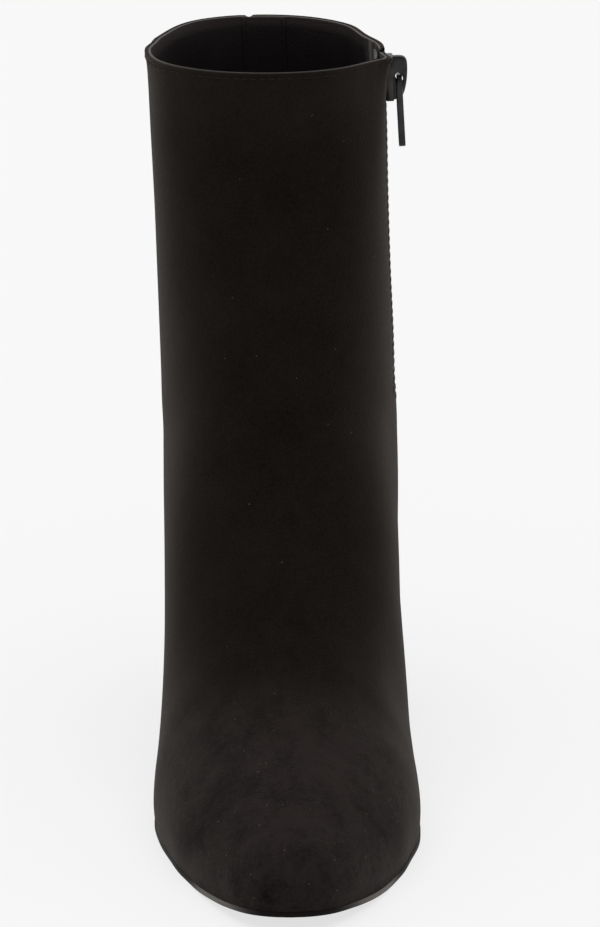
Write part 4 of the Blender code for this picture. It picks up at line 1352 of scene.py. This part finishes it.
class BOOT_OT_zip(bpy.types.Operator):
    """Build the zip's tape finish, teeth, bottom stop, slider and pull."""

    bl_idname = "boot.zip"
    bl_label = "Zip"

    def execute(self, context):
        colours = context.scene.boot_colours
        metal = metal_finish("gunmetal", colours.metal)
        tape = tape_finish("zip_tape", colours.tape)
        for slot in frame["nodes"]["zip_tape"].material_slots:
            slot.material = tape
        self.teeth(metal)
        self.slider(metal)
        self.pull(metal)
        return {"FINISHED"}

    def teeth(self, metal):
        """Teeth of both sides, closed into each other, and the clip below them."""
        bm = bmesh.new()
        start = 2 * GAP + STOP_LENGTH
        count = int((zip_length() - TEETH_BELOW_COLLAR - start) / TOOTH_PITCH) * 2
        for k in range(count):
            row = zip_row(start + TOOTH_PITCH * (k + 0.5) / 2)
            across = TOOTH_OFFSET if k % 2 else -TOOTH_OFFSET
            self.bar(bm, row, across, CHAIN_WIDTH - 2 * TOOTH_OFFSET, TOOTH_HEIGHT)
        round_edges(bm, TOOTH_BEVEL, segments=1)
        add_piece("zip_teeth", bm, [metal], ["zip_chain"], move=False)
        bm = bmesh.new()
        self.bar(bm, zip_row(GAP + STOP_LENGTH / 2), 0.0, CHAIN_WIDTH, STOP_LENGTH)
        round_edges(bm, STOP_BEVEL, segments=3)
        add_piece("zip_stop", bm, [metal], ["zip_bottom_stop"], move=False)

    def bar(self, bm, row, across, width, tall):
        """Block of the chain's depth across the zip."""
        sides = Matrix.Diagonal((width, tall, CHAIN_DEPTH - CHAIN_TOP, 1.0))
        lower = Matrix.Translation((across, 0.0, -(CHAIN_DEPTH + CHAIN_TOP) / 2))
        bmesh.ops.create_cube(bm, size=1.0, matrix=frame_matrix(*zip_frame(row)) @ lower @ sides)

    def slider(self, metal):
        """Slider plate with its hollow underside, and the crown that carries the pull."""
        half = SLIDER_LENGTH / 2
        nose, shoulder, tail = SLIDER_NOSE_WIDTH / 2, SLIDER_WIDTH / 2, SLIDER_TAIL_WIDTH / 2
        right = [
            (nose * SLIDER_END_SHARE, -half), (nose, -half + SLIDER_END_CORNER), (shoulder, SLIDER_SHOULDER),
            (tail, half - SLIDER_END_CORNER), (tail * SLIDER_END_SHARE, half),
        ]
        plate = bmesh.new()
        low = SLIDER_LIFT - SLIDER_SINK
        outline = right + [(-x, y) for x, y in right[::-1]]
        plate.faces.new([plate.verts.new((x, y, low)) for x, y in outline])
        self.thicken(plate, (0.0, 0.0, SLIDER_THICKNESS + SLIDER_SINK))
        for vert in plate.verts:
            if vert.co.z < SLIDER_LIFT + SLIDER_THICKNESS / 2:
                vert.co.z -= vert.co.x ** 2 / SLIDER_HOLLOW
        round_edges(plate, SLIDER_BEVEL, segments=3, angle=SLIDER_BEVEL_ANGLE)
        crown = self.crown()
        for bm in (plate, crown):
            bmesh.ops.transform(bm, matrix=slider_place(), verts=bm.verts)
        add_piece("slider_plate", plate, [metal], ["zip_slider"], move=False)
        add_piece("slider_crown", crown, [metal], move=False)

    def crown(self):
        """Upright crown with its tilted hole, in the slider's own frame."""
        face = SLIDER_LIFT + SLIDER_THICKNESS
        path = soften([Vector((0.0, up * MM, face + out * MM)) for up, out in CROWN_PROFILE], passes=2)
        rim = resample(path + path[:1], [k / CROWN_POINTS for k in range(CROWN_POINTS)])
        tilt = math.radians(CROWN_HOLE_TILT)
        hole = []
        for k in range(CROWN_POINTS):
            angle = math.radians(CROWN_HOLE_START) - 2 * math.pi * k / CROWN_POINTS
            long = CROWN_HOLE_LENGTH / 2 * math.cos(angle)
            wide = CROWN_HOLE_WIDTH / 2 * math.sin(angle)
            up = long * math.cos(tilt) - wide * math.sin(tilt)
            out = face + HINGE_OUT + long * math.sin(tilt) + wide * math.cos(tilt)
            hole.append(Vector((0.0, up, out)))
        bm = self.flat_ring(rim, hole)
        bmesh.ops.translate(bm, vec=(-CROWN_WIDTH / 2, 0.0, 0.0), verts=bm.verts)
        self.thicken(bm, (CROWN_WIDTH, 0.0, 0.0))
        round_edges(bm, CROWN_BEVEL, segments=2)
        return bm

    def flat_ring(self, outer, inner):
        """Flat ring between two loops of as many points."""
        bm = bmesh.new()
        for points in (outer, inner):
            loop = bmesh.ops.create_circle(bm, segments=len(points), radius=1.0)["verts"]
            for vert, point in zip(loop, points):
                vert.co = point
        bmesh.ops.bridge_loops(bm, edges=bm.edges)
        return bm

    def thicken(self, bm, reach):
        """Turn a flat shape into a closed plate."""
        up = bmesh.ops.extrude_face_region(bm, geom=bm.faces[:])
        lifted = [item for item in up["geom"] if isinstance(item, bmesh.types.BMVert)]
        bmesh.ops.translate(bm, vec=reach, verts=lifted)
        bmesh.ops.recalc_face_normals(bm, faces=bm.faces)

    def pull(self, metal):
        """Pull tab with its eye, on its own body."""
        half = PULL_THICKNESS / 2
        eye = half + PULL_EYE_LENGTH
        tab = self.outline((half, -PULL_LENGTH), PULL_WIDTH / 2, PULL_END_WIDTH / 2, PULL_CORNER)
        hole = self.outline((-half, -eye), PULL_EYE_WIDTH / 2, PULL_EYE_WIDTH / 2, PULL_EYE_CORNER)
        bm = self.flat_ring(tab, hole)
        bmesh.ops.translate(bm, vec=(0.0, 0.0, -half), verts=bm.verts)
        self.thicken(bm, (0.0, 0.0, PULL_THICKNESS))
        for vert in bm.verts:
            if vert.co.z < 0:
                vert.co.z -= PULL_SWELL * min(max((-vert.co.y - half) / PULL_EYE_LENGTH, 0.0), 1.0)
        round_edges(bm, PULL_BEVEL, segments=2)
        turn = slider_place().to_3x3().to_4x4()
        tilt = Matrix.Rotation(math.radians(-PULL_TILT), 4, "X")
        place = Matrix.Translation(HINGE["pos_m"]) @ turn @ tilt
        bmesh.ops.transform(bm, matrix=place, verts=bm.verts)
        add_piece("pull_tab", bm, [metal], ["zip_pull"], body="zip_pull", move=False)

    def outline(self, ends, top_half, end_half, corner):
        """Points of a round-cornered outline between two ends, from the middle of the top."""
        top, end = ends
        path = [Vector((0.0, top, 0.0))]
        for x, y, first in (
            (top_half - corner, top - corner, 90), (end_half - corner, end + corner, 0),
            (corner - end_half, end + corner, -90), (corner - top_half, top - corner, -180),
        ):
            for step in range(CORNER_STEPS + 1):
                angle = math.radians(first - 90 * step / CORNER_STEPS)
                path.append(Vector((x + corner * math.cos(angle), y + corner * math.sin(angle), 0.0)))
        return resample(path + path[:1], [k / PULL_POINTS for k in range(PULL_POINTS)])


class BOOT_OT_stage(bpy.types.Operator):
    """Lay the pale floor, light it and set up the camera."""

    bl_idname = "boot.stage"
    bl_label = "Stage"

    def execute(self, context):
        bm = bmesh.new()
        bmesh.ops.create_grid(bm, x_segments=FLOOR_CELLS, y_segments=FLOOR_CELLS, size=FLOOR_SIZE / 2)
        mesh = bpy.data.meshes.new("floor")
        bm.to_mesh(mesh)
        bm.free()
        mesh.materials.append(floor_finish("floor", context.scene.boot_colours.floor))
        floor = bpy.data.objects.new("floor", mesh)
        context.scene.collection.objects.link(floor)
        self.lights(context.scene)
        self.camera(context.scene)
        return {"FINISHED"}

    def lights(self, scene):
        """White surroundings, brighter behind and above, and a broad soft light from above."""
        world = bpy.data.worlds.new("studio")
        world.use_nodes = True
        nodes, links = world.node_tree.nodes, world.node_tree.links
        sky = nodes["Background"]
        sky.inputs["Color"].default_value = (1.0, 1.0, 1.0, 1.0)
        place = nodes.new("ShaderNodeTexCoord")
        parts = nodes.new("ShaderNodeSeparateXYZ")
        links.new(place.outputs["Generated"], parts.inputs["Vector"])
        value = None
        for axis, share in (("Y", SKY_BEHIND), ("Z", SKY_ABOVE)):
            term = nodes.new("ShaderNodeMath")
            term.operation = "MULTIPLY_ADD"
            links.new(parts.outputs[axis], term.inputs[0])
            term.inputs[1].default_value = share
            term.inputs[2].default_value = SKY_SIDES
            if value is not None:
                links.new(value, term.inputs[2])
            value = term.outputs["Value"]
        links.new(value, sky.inputs["Strength"])
        scene.world = world
        scene.view_settings.view_transform = "Standard"
        light = bpy.data.lights.new("overhead", "SUN")
        light.energy = LIGHT_STRENGTH
        light.angle = math.radians(LIGHT_SPREAD)
        lamp = bpy.data.objects.new("overhead", light)
        lamp.location = (0.0, 0.0, LIGHT_HEIGHT)
        lamp.rotation_euler = LIGHT_AIM.to_track_quat("-Z", "Y").to_euler()
        scene.collection.objects.link(lamp)

    def camera(self, scene):
        """Camera at the angle of the photograph, with the aim a little off the middle of the picture."""
        lens = bpy.data.cameras.new("camera")
        lens.sensor_width = SENSOR
        lens.lens = FOCAL_PIXELS / PICTURE_HEIGHT * SENSOR
        lens.shift_x = -AIM_RIGHT_OF_MIDDLE / PICTURE_HEIGHT
        lens.shift_y = -AIM_ABOVE_MIDDLE / PICTURE_HEIGHT
        lens.clip_end = CAMERA_REACH
        turn, rise = math.radians(CAMERA_AZIMUTH), math.radians(CAMERA_ELEVATION)
        level = math.cos(rise)
        back = Vector((math.sin(turn) * level, -math.cos(turn) * level, math.sin(rise)))
        view = bpy.data.objects.new("camera", lens)
        view.location = AIM + back * CAMERA_DISTANCE
        view.rotation_euler = (-back).to_track_quat("-Z", "Y").to_euler()
        scene.collection.objects.link(view)
        scene.camera = view


class BOOT_PT_panel(bpy.types.Panel):
    """Lists the boot's pieces, sizes and colours in the sidebar."""

    bl_label = "Ankle boot"
    bl_idname = "BOOT_PT_panel"
    bl_space_type = "VIEW_3D"
    bl_region_type = "UI"
    bl_category = "Boot"

    def draw(self, context):
        for operator in OPERATORS:
            self.layout.operator(operator.bl_idname)
        for group in (context.scene.boot_sizes, context.scene.boot_colours):
            box = self.layout.box()
            for name in group.__annotations__:
                box.prop(group, name)


OPERATORS = (
    BOOT_OT_suede, BOOT_OT_lining, BOOT_OT_stitches, BOOT_OT_sole, BOOT_OT_heel, BOOT_OT_zip, BOOT_OT_stage,
)
CLASSES = (BootSizes, BootColours, *OPERATORS, BOOT_PT_panel)


def register():
    """Make the classes and the scene's settings known to Blender."""
    for item in CLASSES:
        bpy.utils.register_class(item)
    bpy.types.Scene.boot_sizes = PointerProperty(type=BootSizes)
    bpy.types.Scene.boot_colours = PointerProperty(type=BootColours)


def unregister():
    """Take them away again."""
    del bpy.types.Scene.boot_colours
    del bpy.types.Scene.boot_sizes
    for item in reversed(CLASSES):
        bpy.utils.unregister_class(item)


def main():
    """Build every piece and the stage."""
    register()
    bpy.ops.boot.suede()
    bpy.ops.boot.lining()
    bpy.ops.boot.stitches()
    bpy.ops.boot.sole()
    bpy.ops.boot.heel()
    bpy.ops.boot.zip()
    bpy.ops.boot.stage()


if __name__ == "__main__":
    main()
